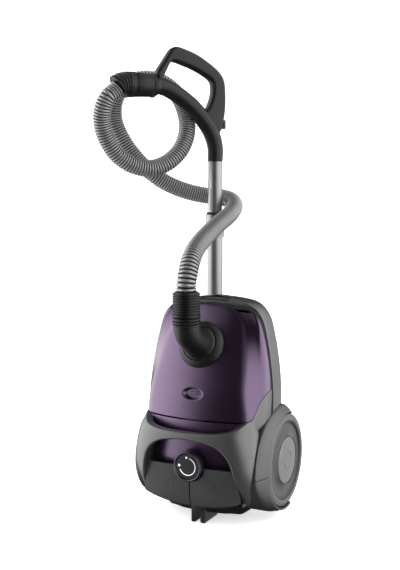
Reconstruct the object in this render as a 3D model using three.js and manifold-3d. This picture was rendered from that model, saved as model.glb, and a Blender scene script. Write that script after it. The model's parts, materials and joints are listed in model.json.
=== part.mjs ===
// Bagged canister vacuum cleaner, parked upright on its rear end, with hose, handle and telescopic wand.
// Millimetres, +Z up. X runs across the machine, the lid faces -Y and the wheels' running side faces +Y.
// The origin is on the standing surface, midway between the wheels.
import * as THREE from 'three';
import { mergeVertices } from 'three/addons/utils/BufferGeometryUtils.js';
import Module from 'manifold-3d';

const wasm = await Module();
wasm.setup();

// ---------- driving dimensions ----------
const GAP = 0.3; // clearance between touching pieces
const WALL = 3; // thickness of the moulded shells
const FAR = 600; // half size of the cutting blocks

// Body sections: height, half width, front, half width of the front face, its crown, start of the side, back.
const BODY = [
  [20, 88, -28, 60, 8, -5, 100],
  [48, 112, -62, 82, 14, -15, 120],
  [130, 130, -72, 104, 20, -15, 127],
  [231, 139, -77, 117, 24, -6, 128],
  [290, 139, -70, 110, 21, 0, 128],
  [345, 134, -46, 102, 18, 6, 126],
  [400, 125, -20, 92, 13, 14, 122],
  [432, 117, -3, 80, 10, 19, 118],
  [450, 107, 7, 62, 8, 24, 113],
  [463, 93, 17, 46, 6, 31, 107],
  [473, 68, 31, 34, 4, 42, 99],
];
const BODY_POINTS = 34; // points round one section
const SEAM_Y = 22; // plane between the lid and the base
const SEAM_HALF = 5; // half thickness of the lid seal
const LID_BOTTOM_Z = 231;
const LID_SWING_GAP = 1.6; // room that the lid's lower corners need as it opens
// Lower edge of the lid, front to seam: depth, height above the lid's bottom.
const LID_EDGE = [[-46, 0], [-38, 6], [-30, 17], [-22, 31], [-12, 44], [0, 52]];
const LID_EDGE_TOP = 58;
const PANEL_Z = [134, 228.6]; // panel behind the carrying handle
const PANEL_HALF = 110;
const COVER_TOP_Z = 47; // top of the bottom cover

// Carrying handle sections: height, corner x, corner y, front.
const CARRY = [
  [34, 78, -28, -34],
  [42, 98, -40, -48],
  [54, 113, -50, -62],
  [92, 129, -64, -92],
  [123, 135, -72, -103],
  [144, 136, -73, -106],
  [193, 132, -66, -107],
  [210, 128, -62, -105],
  [221, 123, -56, -99],
  [234, 119.5, -50.5, -86],
];
// Top of the carrying handle, middle to side: it rises to meet the lid's lower corners.
const CARRY_TOP = [[0, 209], [40, 209.5], [75, 212.5], [101, 219], [116, 229], [122, 234]];
const CARRY_THICK = 17;
// Right half of the opening that the carrying handle frames, top to bottom.
const CARRY_OPENING = [
  [0, 194], [30, 192], [56, 187], [78, 175], [92, 160], [100, 140], [105, 120], [111, 92], [115, 71],
  [113, 56], [100, 40], [80, 20],
];

const WHEEL_Y = 78;
const WHEEL_Z = 124;
const WHEEL_R = 100;
const TYRE_IN_R = 85;
const TYRE_X = [128, 151];
const FENDER_X = [101, 143, 154];
const FENDER_FRONT = 146; // reach of the wheel housing towards the lid side
const FENDER_UP = 122;
const FENDER_DOWN = 108;
const FENDER_BACK = 74;
const FENDER_LIP = 7; // how much wider than the wheel the housing's outer edge is
const WELL_R = 102.5;
const WELL_X = 125;
const UNDERSIDE_Y = 150;
const AXLE_R = 5;
const AXLE_HEAD_R = 9;
const FOOT = { x: [103, 126], y: [96, 126], top: 40 };

const CASTER = { z: 395, stemR: 7, pinY: 159, pinZ: 406, wheelR: 19 };
const EXHAUST = { x: 52, z: [140, 204], slots: 7, pitch: 8, slotHalf: 44 };
const LATCH = { half: 32, y: [29, 46], z: [456, 470] };
const OUTLET = { x: 52, y: 62, r: 9 };
const HINGE = { r: 1, half: 20, y: -76, z: 230.2 };
const KNOB = { r: 32, z: 135, front: -97, back: -78 };
const PEDAL = { near: 1, front: -85, thick: 6, top: 132, bottom: 48, wide: 104 };
const SHAFT_R = 6;

// Inside the base: the motor stands above the cord reel.
const MOTOR = { y: 35, r: 58, neckR: 34, z: [104, 211], wall: 4 };
const REEL = { y: 28, r: 66, hubR: 34, z: [52, 94], flange: 3 };
const BULKHEAD_Z = [212, 216];
const FILTER = { x: 56, y: [-20, 96], z: [217, 224] };
const SWITCH = { x: [-62, -36], y: [-52, -40], z: [62, 84] };
// Dust bag sections: height, half width, half depth, middle.
const BAG = [[250, 58, 34, 38], [272, 82, 44, 46], [330, 84, 40, 52], [380, 70, 30, 62], [405, 46, 18, 70]];

const INLET = new THREE.Vector3(0, -27, 380); // middle of the hose inlet, on the lid
const INLET_TILT = 23; // degrees that the inlet looks upwards
const INLET_R = 51;
const LENS = { half: 9, y: [-63, -60], z: [279, 288] };
const FLAG_Y = [-58.5, -57];
const ELBOW_R = 27;
const ELBOW_BORE = 18;
const BUTTON_TRAVEL = 2;
const SLIDER_TRAVEL = 8;

const HOSE_R = 19.5;
const CUFF_R = 28;
const CUFF_Z = [450, 500];
const HOSE_SIDES = 8;
// Middle line of the hose, from the elbow's cuff to the handle's cuff.
const HOSE = [
  [0, -98, 500.4], [0, -98, 512], [0, -93, 531], [-2, -77, 557], [-7, -42, 583], [-11, 12, 606],
  [-12, 78, 630], [-14, 142, 650], [-26, 193, 668], [-51, 222, 681], [-82, 229, 687],
  [-110, 221, 690], [-144, 200, 698], [-178, 175, 713], [-210, 151, 736], [-243, 129, 772],
  [-271, 109, 818], [-287, 98, 866], [-282, 97, 912], [-259, 105, 943], [-224, 122, 956],
  [-186, 143, 948], [-154, 156, 920], [-134, 158, 878], [-124, 147, 838], [-128, 126, 797],
  [-147, 98, 766], [-173, 70, 752], [-201, 41, 757], [-226, 13, 779], [-242, -9, 815],
  [-244, -24, 853], [-234, -31, 885], [-224.6, -28, 903.6], [-218.8, -20.6, 911.5],
];
const HOSE_SPLITS = [0, 0.23, 0.48, 1]; // the three lengths of hose meet at these shares of it
const HOSE_STEPS = [12, 14, 32];

const WAND = { x: -67, y: 176 };
const UPPER_R = 16;
const LOWER_R = 17.5;
const TUBE_WALL = 1.2;
const UPPER_Z = [250, 800];
const LOWER_Z = [215, 648];
const SLEEVE_Z = [596, 648];
const SLEEVE_R = 21.5;

// Handle, drawn in an upright plane that stands on the wand's axis: distance out from the wand, height.
const HANDLE_TURN = -127.7; // degrees, direction of the handle's plane seen from above
const GRIP_THICK = 27;
const HANDLE_TUBE_R = 18.5;
const CONNECTOR_OUT = [151.3, 199];
const CONNECTOR_HIGH = 932;
const CONNECTOR_R = 26.5;
const HANDLE_PATH = [
  [0, 0, 768], [0, 0, 800], [10, 0, 832], [36, 0, 868], [72, 0, 900], [112, 0, 924], [136, 0, 932],
  [150.8, 0, 932],
];
const GRIP_OUTLINE = [
  [140, 936], [149, 950], [149, 958], [112, 1013], [104, 1019], [96, 1019], [51, 1005], [20, 988],
  [-6, 969], [-18, 952], [-22, 928], [-22, 890], [-10, 826], [28, 838], [30, 870],
];
const GRIP_OPENING = [
  [130, 951], [113, 987], [80, 979], [51, 969], [14, 948], [11, 941], [11, 918], [22, 888], [40, 880],
  [90, 925],
];

// ---------- finishes ----------
const FINISH = {
  purpleGloss: [0x4a2c55, 0.18, 0.35],
  greySatin: [0x6d6d6d, 0.42, 0.25],
  greyMid: [0x565656, 0.45, 0.15],
  greyDark: [0x2f2f2f, 0.5, 0.05],
  blackSatin: [0x1d1d1d, 0.4, 0.05],
  blackMatte: [0x151515, 0.75, 0],
  rubber: [0x202020, 0.85, 0],
  hoseGrey: [0x7d7d7d, 0.35, 0.4],
  tubeMetal: [0xa8a8a8, 0.28, 0.9],
  steel: [0xb5b5b5, 0.35, 0.9],
  clear: [0xd8d8d8, 0.1, 0],
  orange: [0xc85a1e, 0.5, 0],
  paper: [0xd9d3c4, 0.95, 0],
  foam: [0x3b3f45, 0.95, 0],
};

// ---------- solids ----------
const deg = THREE.MathUtils.degToRad;

/** Turns a closed geometry into a manifold solid. */
function solid(geometry) {
  const plain = geometry.clone();
  plain.deleteAttribute('normal');
  plain.deleteAttribute('uv');
  const merged = mergeVertices(plain, 1e-3);
  return new wasm.Manifold(new wasm.Mesh({
    numProp: 3,
    vertProperties: new Float32Array(merged.attributes.position.array),
    triVerts: new Uint32Array(merged.index.array),
  }));
}

/** Turns a manifold solid back into a geometry. */
function geometryOf(body) {
  const mesh = body.getMesh();
  const geometry = new THREE.BufferGeometry();
  geometry.setAttribute('position', new THREE.BufferAttribute(mesh.vertProperties, mesh.numProp));
  geometry.setIndex(new THREE.BufferAttribute(mesh.triVerts, 1));
  return geometry;
}

/** A block between two corners. */
function block(x0, x1, y0, y1, z0, z1) {
  const geometry = new THREE.BoxGeometry(x1 - x0, y1 - y0, z1 - z0);
  geometry.translate((x0 + x1) / 2, (y0 + y1) / 2, (z0 + z1) / 2);
  return solid(geometry);
}

/** A lathed solid about the Z axis from [radius, height] pairs that start and end on the axis or close. */
function turned(profile, sides = 32) {
  const points = profile.map(([r, z]) => new THREE.Vector2(r, z));
  return new THREE.LatheGeometry(points, sides).rotateX(Math.PI / 2);
}

/** A tube section between two heights about the Z axis. */
function pipe(outer, inner, z0, z1, sides = 32) {
  return turned([[inner, z0], [outer, z0], [outer, z1], [inner, z1], [inner, z0]], sides);
}

/** A round bar between two heights about the Z axis. */
function bar(radius, z0, z1, sides = 32) {
  return turned([[0, z0], [radius, z0], [radius, z1], [0, z1]], sides);
}

/** Turns a geometry made about Z so that it lies about the X axis. */
function alongX(geometry) {
  return geometry.rotateY(Math.PI / 2);
}

/** Turns a geometry made about Z so that its top looks towards -Y. */
function alongFront(geometry) {
  return geometry.rotateX(Math.PI / 2);
}

/** Joins rings of equal point count into one closed solid. Seen from the last ring they run anticlockwise. */
function loft(rings, flat) {
  const count = rings[0].length;
  const positions = rings.flat().flatMap((p) => [p.x, p.y, p.z]);
  const index = [];
  for (let i = 0; i < rings.length - 1; i += 1) {
    for (let j = 0; j < count; j += 1) {
      const a = i * count + j;
      const b = i * count + (j + 1) % count;
      index.push(a, b, b + count, a, b + count, a + count);
    }
  }
  const last = (rings.length - 1) * count;
  const faces = THREE.ShapeUtils.triangulateShape(rings[0].map(flat), []);
  const topFaces = THREE.ShapeUtils.triangulateShape(rings[rings.length - 1].map(flat), []);
  faces.forEach(([a, b, c]) => index.push(a, c, b));
  topFaces.forEach(([a, b, c]) => index.push(last + a, last + b, last + c));
  const geometry = new THREE.BufferGeometry();
  geometry.setAttribute('position', new THREE.Float32BufferAttribute(positions, 3));
  geometry.setIndex(index);
  return geometry;
}

const flatXY = (p) => new THREE.Vector2(p.x, p.y);
const flatYZ = (p) => new THREE.Vector2(p.y, p.z);

/** Extrudes an outline drawn across (x, z) between two depths. */
function plate(points, y0, y1, holes = []) {
  const shape = new THREE.Shape(points.map(([x, z]) => new THREE.Vector2(x, z)));
  holes.forEach((hole) => shape.holes.push(new THREE.Path(hole.map(([x, z]) => new THREE.Vector2(x, z)))));
  const geometry = new THREE.ExtrudeGeometry(shape, { depth: y1 - y0, bevelEnabled: false });
  return geometry.rotateX(Math.PI / 2).translate(0, y1, 0);
}

/** Extrudes an outline drawn across (y, z) between two widths. */
function sidePlate(points, x0, x1) {
  const shape = new THREE.Shape(points.map(([y, z]) => new THREE.Vector2(y, z)));
  const geometry = new THREE.ExtrudeGeometry(shape, { depth: x1 - x0, bevelEnabled: false });
  return geometry.rotateY(Math.PI / 2).rotateX(Math.PI / 2).translate(x0, 0, 0);
}

/** A smooth curve through points. */
function curveOf(points) {
  return new THREE.CatmullRomCurve3(points.map((p) => new THREE.Vector3(...p)), false, 'centripetal');
}

/** A round solid along a curve, with an even number of sides. */
function sweep(curve, radius, steps, sides) {
  const shape = new THREE.Shape().absarc(0, 0, radius, 0, Math.PI * 2);
  return new THREE.ExtrudeGeometry(shape, {
    steps, curveSegments: sides / 2, bevelEnabled: false, extrudePath: curve,
  });
}

/** A round solid through points. */
function rod(points, radius, steps, sides) {
  return sweep(curveOf(points), radius, steps, sides);
}

/** The other side's copy of a solid. */
function mirrored(body) {
  return body.mirror([1, 0, 0]);
}

const group = new THREE.Group();

/** Adds a named piece. */
function add(name, shape, finish) {
  const geometry = shape.isBufferGeometry ? shape : geometryOf(shape);
  const [color, roughness, metalness] = FINISH[finish];
  const mesh = new THREE.Mesh(geometry, new THREE.MeshStandardMaterial({ color, roughness, metalness }));
  mesh.name = name;
  group.add(mesh);
  return mesh;
}

// ---------- body sections ----------

/** The row of values at a height, between two rows of a table that starts with heights. */
function rowAt(table, z) {
  const top = table.findIndex((row) => row[0] >= z);
  if (top <= 0) return table[Math.max(top, 0)];
  const low = table[top - 1];
  const share = (z - low[0]) / (table[top][0] - low[0]);
  return low.map((value, i) => value + (table[top][i] - value) * share);
}

/** A closed ring through points given for the right half, front to back. */
function ringOf(half, z, count) {
  const left = half.slice(1, -1).reverse().map(([x, y]) => [-x, y]);
  const points = [...half, ...left].map(([x, y]) => new THREE.Vector3(x, y, z));
  return new THREE.CatmullRomCurve3(points, true, 'centripetal').getSpacedPoints(count).slice(0, count);
}

/** One section of the body, moved inwards by inset. */
function bodyRing(row, inset) {
  const [z, width, front, face, crown, side, back] = row;
  const w = width - inset;
  const f = front + inset;
  const b = back - inset;
  const c = face - inset * 0.8;
  return ringOf([
    [0, f], [c * 0.5, f + crown * 0.22], [c * 0.88, f + crown * 0.72], [c, f + crown + 2],
    [c + (w - c) * 0.85, side - 6], [w, side + 10], [w + 1, 56], [w - 5, b - 40],
    [w * 0.86, b - 12], [w * 0.55, b - 1], [0, b],
  ], z, BODY_POINTS);
}

/** The whole body's volume, moved inwards by inset. */
function bodySolid(inset) {
  const first = BODY[0][0] + inset;
  const last = BODY[BODY.length - 1][0] - inset;
  const rows = BODY.slice(1, -1);
  const heights = [first, ...rows.map((row) => row[0]), last];
  return solid(loft(heights.map((z) => {
    const row = [...rowAt(BODY, z)];
    row[0] = z;
    return bodyRing(row, inset);
  }), flatXY));
}

const outerBody = bodySolid(0);
const innerBody = bodySolid(WALL);
const bodyShell = outerBody.subtract(innerBody);

/** The part of space that the lid takes, grown by a clearance. */
function lidZone(clearance) {
  const seam = SEAM_Y - SEAM_HALF + clearance;
  const low = LID_BOTTOM_Z - clearance;
  const edge = LID_EDGE.map(([y, up]) => [y, low + up]);
  return solid(sidePlate([
    [-FAR, low], ...edge, [seam, low + LID_EDGE_TOP], [seam, FAR], [-FAR, FAR],
  ], -FAR, FAR));
}

// ---------- wheel housings and wheels ----------

/** The wheel housing's outline at a distance out, moved inwards by inset, shrinking to a circle by share. */
function fenderRing(x, inset, share) {
  const count = 32;
  return Array.from({ length: count }, (_, i) => {
    const angle = (i / count) * Math.PI * 2;
    const rise = Math.sin(angle) > 0 ? FENDER_UP : FENDER_DOWN;
    const round = WHEEL_R + FENDER_LIP;
    const front = FENDER_FRONT + (round - FENDER_FRONT) * share;
    const reach = Math.cos(angle) < 0 ? front : FENDER_BACK;
    const y = (reach - inset) * Math.cos(angle);
    const z = (rise + (round - rise) * share - inset) * Math.sin(angle);
    return new THREE.Vector3(x, WHEEL_Y + y, WHEEL_Z + z);
  });
}

/** The right wheel housing's outer volume, grown by a clearance. */
function fenderSolid(grow) {
  const [inner, rim, outer] = FENDER_X;
  return solid(loft([
    fenderRing(inner - grow, -grow, 0), fenderRing(rim, -grow, 0), fenderRing(outer + grow, -grow, 1),
  ], flatYZ));
}

function fender() {
  const [inner] = FENDER_X;
  const well = solid(alongX(bar(WELL_R, WELL_X, FAR, 32)).translate(0, WHEEL_Y, WHEEL_Z));
  const hollow = solid(loft([
    fenderRing(inner - 1, WALL + 1, 0), fenderRing(WELL_X - WALL, WALL + 1, 0),
  ], flatYZ));
  const hole = solid(alongX(bar(AXLE_R + GAP, 0, FAR, 16)).translate(0, WHEEL_Y, WHEEL_Z));
  return fenderSolid(0).subtract(well).subtract(hollow).subtract(hole)
    .subtract(block(-FAR, FAR, UNDERSIDE_Y, FAR, -FAR, FAR));
}

function tyre() {
  const [near, far] = TYRE_X;
  return solid(alongX(turned([
    [TYRE_IN_R, near], [WHEEL_R - 4, near], [WHEEL_R, near + 4], [WHEEL_R, far - 4], [WHEEL_R - 4, far],
    [TYRE_IN_R, far], [TYRE_IN_R, near],
  ], 32)).translate(0, WHEEL_Y, WHEEL_Z));
}

/** The wheel's disc: a thin dished face with a hub boss behind it and a rim inside the tyre. */
function wheelDisc() {
  const bore = AXLE_R + GAP;
  const rim = TYRE_IN_R - GAP;
  const [near, far] = TYRE_X;
  return solid(alongX(turned([
    [bore, near + 1], [16, near + 1], [18, far - 8], [rim - 5, far - 6], [rim - 5, near + 3],
    [rim - 1, near + 3], [rim - 1, far + 1], [80, far + 4], [52, far], [50, far + 3], [20, far + 4.5],
    [0, far + 4.5], [0, far - 4], [bore, far - 4], [bore, near + 1],
  ], 24)).translate(0, WHEEL_Y, WHEEL_Z));
}

function axle() {
  const [, far] = TYRE_X;
  const head = [FENDER_X[0] - 7, FENDER_X[0] - 0.5];
  return solid(alongX(turned([
    [0, head[0]], [AXLE_HEAD_R, head[0]], [AXLE_HEAD_R, head[1]], [AXLE_R, head[1]], [AXLE_R, far - 5],
    [0, far - 5],
  ], 16)).translate(0, WHEEL_Y, WHEEL_Z));
}

function rearFoot() {
  const foot = block(...FOOT.x, ...FOOT.y, 0, FOOT.top);
  return foot.subtract(fenderSolid(GAP));
}

// ---------- canister ----------

const fenderSpace = fenderSolid(GAP);
const bothFenders = fenderSpace.add(mirrored(fenderSpace));

/** The walls that close the base beside the wheel housings. */
function innerWalls() {
  const [inner] = FENDER_X;
  const wall = block(inner - GAP - WALL, inner - GAP - 0.05, -FAR, FAR, COVER_TOP_Z, LID_BOTTOM_Z - 6);
  const walls = wall.add(mirrored(wall)).intersect(bodySolid(1));
  const axleHole = solid(alongX(bar(AXLE_HEAD_R + GAP, -FAR, FAR, 16)).translate(0, WHEEL_Y, WHEEL_Z));
  return walls.subtract(axleHole);
}

function baseShell() {
  const frontPanel = block(-FAR, FAR, -FAR, -30, PANEL_Z[0] - GAP, FAR);
  const above = block(-FAR, FAR, -FAR, SEAM_Y + SEAM_HALF, LID_BOTTOM_Z - 30, FAR);
  const knobHole = solid(alongFront(bar(8, 0, FAR, 16)).translate(0, 0, KNOB.z));
  const casterHole = solid(alongFront(bar(CASTER.stemR + GAP, -FAR, 0, 16)).translate(0, 0, CASTER.z));
  return bodyShell.subtract(bothFenders).add(innerWalls())
    .subtract(block(-FAR, FAR, -FAR, FAR, -FAR, COVER_TOP_Z))
    .subtract(frontPanel).subtract(above).subtract(lidZone(GAP)).subtract(knobHole)
    .subtract(casterHole).subtract(exhaustWindow(GAP)).subtract(latchWindow(GAP + 0.2));
}

function exhaustWindow(grow) {
  return block(-EXHAUST.x - grow, EXHAUST.x + grow, 100, FAR, EXHAUST.z[0] - grow, EXHAUST.z[1] + grow);
}

function latchWindow(grow) {
  const { half, y, z } = LATCH;
  return block(-half - grow, half + grow, y[0] - grow, y[1] + grow, z[0] - 3 - grow, FAR);
}

function bottomCover() {
  const kept = block(-FAR, FAR, -FAR, FAR, -FAR, COVER_TOP_Z - GAP);
  const outlet = solid(bar(OUTLET.r + GAP, -FAR, 60, 16).translate(OUTLET.x, OUTLET.y, 0));
  return bodyShell.intersect(kept).subtract(bothFenders).subtract(outlet)
    .subtract(block(-16 - GAP, 16 + GAP, -60, 19 + GAP, -FAR, 36));
}

function sidePanel() {
  const space = block(60, FAR, -FAR, SEAM_Y - SEAM_HALF, LID_BOTTOM_Z - 30 + GAP, FAR);
  const near = block(-FAR, PANEL_HALF + GAP, -FAR, -30 + GAP, -FAR, PANEL_Z[1] + GAP);
  return bodyShell.intersect(space).subtract(lidZone(LID_SWING_GAP)).subtract(fenderSpace).subtract(near)
    .subtract(carrySolid(0).add(block(0, 60, -FAR, FAR, -FAR, FAR)));
}

function innerPanel() {
  const kept = block(-PANEL_HALF + GAP, PANEL_HALF - GAP, -FAR, -30 - GAP, PANEL_Z[0], PANEL_Z[1]);
  const shaft = solid(alongFront(bar(8, 0, FAR, 16)).translate(0, 0, KNOB.z));
  return bodyShell.intersect(kept).subtract(bothFenders).subtract(shaft);
}

/** The outside of the carrying handle's sections, moved inwards by inset. */
function carrySolid(inset) {
  const rings = CARRY.map(([z, cornerX, cornerY, front]) => {
    const x = cornerX - inset;
    const y = cornerY + inset * 0.8;
    const f = front + inset;
    const low = f + (y - f) * 0.35;
    return ringOf([
      [0, f], [x * 0.5, f + (y - f) * 0.09], [x * 0.82, low], [x, y], [x + 5, y + 28],
      [x + 3, 20], [x * 0.6, 40], [0, 42],
    ], z, BODY_POINTS);
  });
  return solid(loft(rings, flatXY));
}

function carryHandle() {
  const left = CARRY_OPENING.slice(1).reverse().map(([x, z]) => [-x, z]);
  const opening = solid(plate([...left, ...CARRY_OPENING], -FAR, -20));
  const topLeft = CARRY_TOP.slice(1).reverse().map(([x, z]) => [-x, z]);
  const above = solid(plate([
    [-FAR, FAR], [-FAR, 234], ...topLeft, ...CARRY_TOP, [FAR, 234], [FAR, FAR],
  ], -FAR, FAR));
  const cavity = carrySolid(CARRY_THICK).scale([1, 1, 1.4]).translate([0, 0, -40]);
  return carrySolid(0).subtract(cavity).subtract(opening).subtract(above).subtract(bothFenders)
    .subtract(block(-FAR, FAR, -30, FAR, -FAR, FAR))
    .subtract(bodySolid(-GAP));
}

function parkingBracket() {
  const keyhole = [[-7, -1], [7, -1], [7, 0], [5, 4], [5, 12], [-5, 12], [-5, 4], [-7, 0]];
  return block(-16, 16, -46, 19, 0, 36).subtract(solid(plate(keyhole, -FAR, -8)));
}

function pedal(sign) {
  const { near, front, thick, top, bottom, wide } = PEDAL;
  const outline = [
    [near, top], [near, bottom], [wide * 0.5, bottom + 2], [wide * 0.9, bottom + 8],
    [wide, bottom + 20], [wide, top - 30], [wide - 8, top],
  ];
  const points = outline.map(([x, z]) => [sign * x, z]);
  const knobRoom = solid(alongFront(bar(KNOB.r + 2.5, 0, FAR, 20)).translate(0, 0, KNOB.z));
  const body = solid(plate(sign > 0 ? points : points.reverse(), front, front + thick));
  return body.subtract(knobRoom);
}

function knob() {
  const { r, z, front, back } = KNOB;
  return solid(turned([
    [0, -back - 14], [SHAFT_R, -back - 14], [SHAFT_R, -back], [r, -back], [r, -front - 3],
    [r - 4, -front], [r - 8, -front], [r - 9, -front - 2], [0, -front - 2],
  ], 24).rotateX(Math.PI / 2).translate(0, 0, z));
}

function potentiometer() {
  const socket = solid(alongFront(bar(SHAFT_R + GAP, 0, 80, 16)).translate(0, 0, KNOB.z));
  return block(-14, 14, -64, -50, KNOB.z - 14, KNOB.z + 14).subtract(socket);
}

function lidGasket() {
  const ring = bodySolid(0.8).subtract(bodySolid(14));
  return ring.intersect(block(-FAR, FAR, SEAM_Y - SEAM_HALF + GAP, SEAM_Y + SEAM_HALF - GAP,
    LID_BOTTOM_Z - 10, FAR)).subtract(bothFenders);
}

/** The wall between the motor room and the bag room, with the motor's intake cut through it. */
function bulkhead() {
  const half = FENDER_X[0] - WALL - 2 * GAP;
  const intake = solid(bar(MOTOR.neckR, 200, 260, 24).translate(0, MOTOR.y, 0));
  return bodySolid(WALL + GAP).intersect(block(-half, half, -25, FAR, ...BULKHEAD_Z)).subtract(intake);
}

function motorHousing() {
  const { r, neckR, wall, z: [low, high] } = MOTOR;
  return turned([
    [r - 2 * wall, low], [r, low], [r, high], [neckR, high], [neckR, high - wall], [r - wall, high - wall],
    [r - wall, low + wall], [r - 2 * wall, low + wall], [r - 2 * wall, low],
  ], 20).translate(0, MOTOR.y, 0);
}

/** Armature, shaft and fan wheel of the motor. */
function fanRotor() {
  const [low, high] = MOTOR.z;
  return turned([
    [0, low + 8], [24, low + 8], [34, low + 26], [34, low + 61], [5, low + 64], [5, high - 31],
    [48, high - 31], [30, high - 11], [0, high - 11],
  ], 16).translate(0, MOTOR.y, 0);
}

function cordReel() {
  const { r, hubR, flange, z: [low, high] } = REEL;
  return turned([
    [6, low], [r, low], [r, low + flange], [hubR, low + flange], [hubR, high - flange],
    [r, high - flange], [r, high], [6, high], [6, low],
  ], 20).translate(0, REEL.y, 0);
}

function reelAxle() {
  const [low, high] = REEL.z;
  return turned([
    [0, low - 4], [14, low - 4], [14, low - 1], [5.5, low - 1], [5.5, high + 4], [0, high + 4],
  ], 16).translate(0, REEL.y, 0);
}

function dustBag() {
  return loft(BAG.map(([z, halfX, halfY, y]) => ringOf([
    [0, y - halfY], [halfX * 0.7, y - halfY * 0.85], [halfX, y], [halfX * 0.7, y + halfY * 0.85],
    [0, y + halfY],
  ], z, 20)), flatXY);
}

/** Places a shape made about Z, with its top outwards, on the hose inlet. */
function atInlet(geometry) {
  return geometry.rotateX(Math.PI / 2 - deg(INLET_TILT)).translate(...INLET.toArray());
}

function lidShell() {
  const hole = solid(atInlet(bar(44 + GAP, -30, 60, 24)));
  const { half, z: [low, high] } = LENS;
  const sight = block(-half - GAP, half + GAP, -FAR, -40, low - GAP, high + GAP);
  const oval = solid(alongFront(bar(1, 40, 90, 20)).scale(25, 1, 15).translate(0, 0, 284));
  const dish = oval.subtract(block(-FAR, FAR, -64, FAR, -FAR, FAR));
  const collarRoom = solid(atInlet(bar(INLET_R + GAP, -1, 60, 24)));
  const reach = HINGE.r + GAP;
  const hingeRoom = block(-HINGE.half - 1, HINGE.half + 1, HINGE.y - reach, FAR, 0, HINGE.z + reach);
  return bodyShell.intersect(lidZone(0)).subtract(hole).subtract(sight).subtract(dish)
    .subtract(collarRoom).subtract(hingeRoom);
}

function inletCollar() {
  return atInlet(turned([
    [36, -22], [44, -22], [44, 0], [INLET_R, 0], [INLET_R, 8], [46, 15], [38, 15], [36, 12], [36, -22],
  ], 24));
}

function indicatorLens() {
  return block(-LENS.half, LENS.half, ...LENS.y, ...LENS.z);
}

function indicatorFlag() {
  return block(-8, 0, ...FLAG_Y, ...LENS.z);
}

function lidLatch() {
  const { half, y: [near, far], z: [low, high] } = LATCH;
  const side = [[near, low + 7], [near, low], [far, low], [far, high - 1], [near + 9, high]];
  return solid(sidePlate(side, -half, half));
}

function hingePin() {
  return alongX(bar(HINGE.r, -HINGE.half, HINGE.half, 12)).translate(0, HINGE.y, HINGE.z);
}

function bagHolder() {
  const slab = block(-52, 52, -58, 58, -34, -30);
  const hole = solid(bar(30, -60, 0, 24));
  return atInlet(geometryOf(slab.subtract(hole)));
}

function casterFork() {
  const { z, stemR, pinY, pinZ } = CASTER;
  const stem = solid(alongFront(bar(stemR, -131, -106, 16)).translate(0, 0, z));
  const plateDisc = solid(alongFront(bar(17, -134, -128, 20)).translate(0, 0, z));
  const cheek = block(11, 14, 132, pinY + 9, z - 10, pinZ + 9);
  const pinHole = solid(alongX(bar(2.5 + GAP, -30, 30, 12)).translate(0, pinY, pinZ));
  return stem.add(plateDisc).add(cheek).add(mirrored(cheek)).subtract(pinHole);
}

function casterWheel() {
  const { pinY, pinZ, wheelR } = CASTER;
  return alongX(turned([
    [2.5 + GAP, -9], [wheelR - 3, -9], [wheelR, -6], [wheelR, 6], [wheelR - 3, 9], [2.5 + GAP, 9],
    [2.5 + GAP, -9],
  ], 20)).translate(0, pinY, pinZ);
}

function casterPin() {
  return alongX(bar(2.5, -14, 14, 12)).translate(0, CASTER.pinY, CASTER.pinZ);
}

function parkingSlot() {
  const base = block(WAND.x - 22, WAND.x + 22, 120, 150, 270, 312);
  const slot = block(WAND.x - 10, WAND.x + 10, 134, 144, 276, 400);
  const mouth = block(WAND.x - 6, WAND.x + 6, 142, 200, 276, 400);
  return base.subtract(slot).subtract(mouth).subtract(bodySolid(-GAP));
}

// ---------- hose, elbow and cuffs ----------

function elbow() {
  const path = [
    [0, -36, 384], [0, -52, 390.5], [0, -70, 398.5], [0, -87, 411], [0, -96, 427], [0, -98, 441],
    [0, -98, CUFF_Z[0] - GAP],
  ];
  const bend = solid(rod(path, ELBOW_R, 9, 16));
  const neck = solid(atInlet(bar(35.5, -20, 16.5, 24)));
  const bore = solid(rod([[0, 2, 366], ...path, [0, -98, 470]], ELBOW_BORE, 10, 12));
  return bend.add(neck).subtract(bore).subtract(elbowButtonSolid(GAP, BUTTON_TRAVEL));
}

/** The release button, or with grow and travel the pocket that it is pressed into. */
function elbowButtonSolid(grow, travel) {
  return solid(atInlet(geometryOf(
    block(23 - grow - travel, 33 + grow, -10 - grow, 10 + grow, 18 - grow, 26 + grow),
  )));
}

function lowerCuff() {
  return pipe(CUFF_R, ELBOW_BORE, ...CUFF_Z, 24).translate(0, -98, 0);
}

/** A stretch of a longer curve. */
class Stretch extends THREE.Curve {
  constructor(whole, from, to) {
    super();
    Object.assign(this, { whole, from, to });
  }

  getPoint(t, target = new THREE.Vector3()) {
    return this.whole.getPointAt(this.from + (this.to - this.from) * t, target);
  }
}

function hoseLength(i) {
  const whole = curveOf(HOSE);
  const trim = GAP / 2 / whole.getLength();
  const from = HOSE_SPLITS[i] + (i > 0 ? trim : 0);
  const to = HOSE_SPLITS[i + 1] - (i < 2 ? trim : 0);
  return sweep(new Stretch(whole, from, to), HOSE_R, HOSE_STEPS[i], HOSE_SIDES);
}

// ---------- handle and wand ----------

/** Stands a shape drawn across (out, height) on the wand's axis in the handle's plane. */
function onHandle(geometry) {
  return geometry.rotateZ(deg(HANDLE_TURN)).translate(WAND.x, WAND.y, 0);
}

function handleTube() {
  const outside = solid(onHandle(rod(HANDLE_PATH, HANDLE_TUBE_R, 13, 16)));
  const room = solid(bar(UPPER_R + GAP, 700, 801, 20).translate(WAND.x, WAND.y, 0));
  const bore = solid(onHandle(rod([[0, 0, 796], ...HANDLE_PATH.slice(2), [170, 0, 933]], 14, 11, 10)));
  return outside.subtract(room).subtract(bore);
}

function upperTube() {
  const [low, high] = UPPER_Z;
  return onWand(pipe(UPPER_R, UPPER_R - TUBE_WALL, low, high, 20));
}

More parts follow.
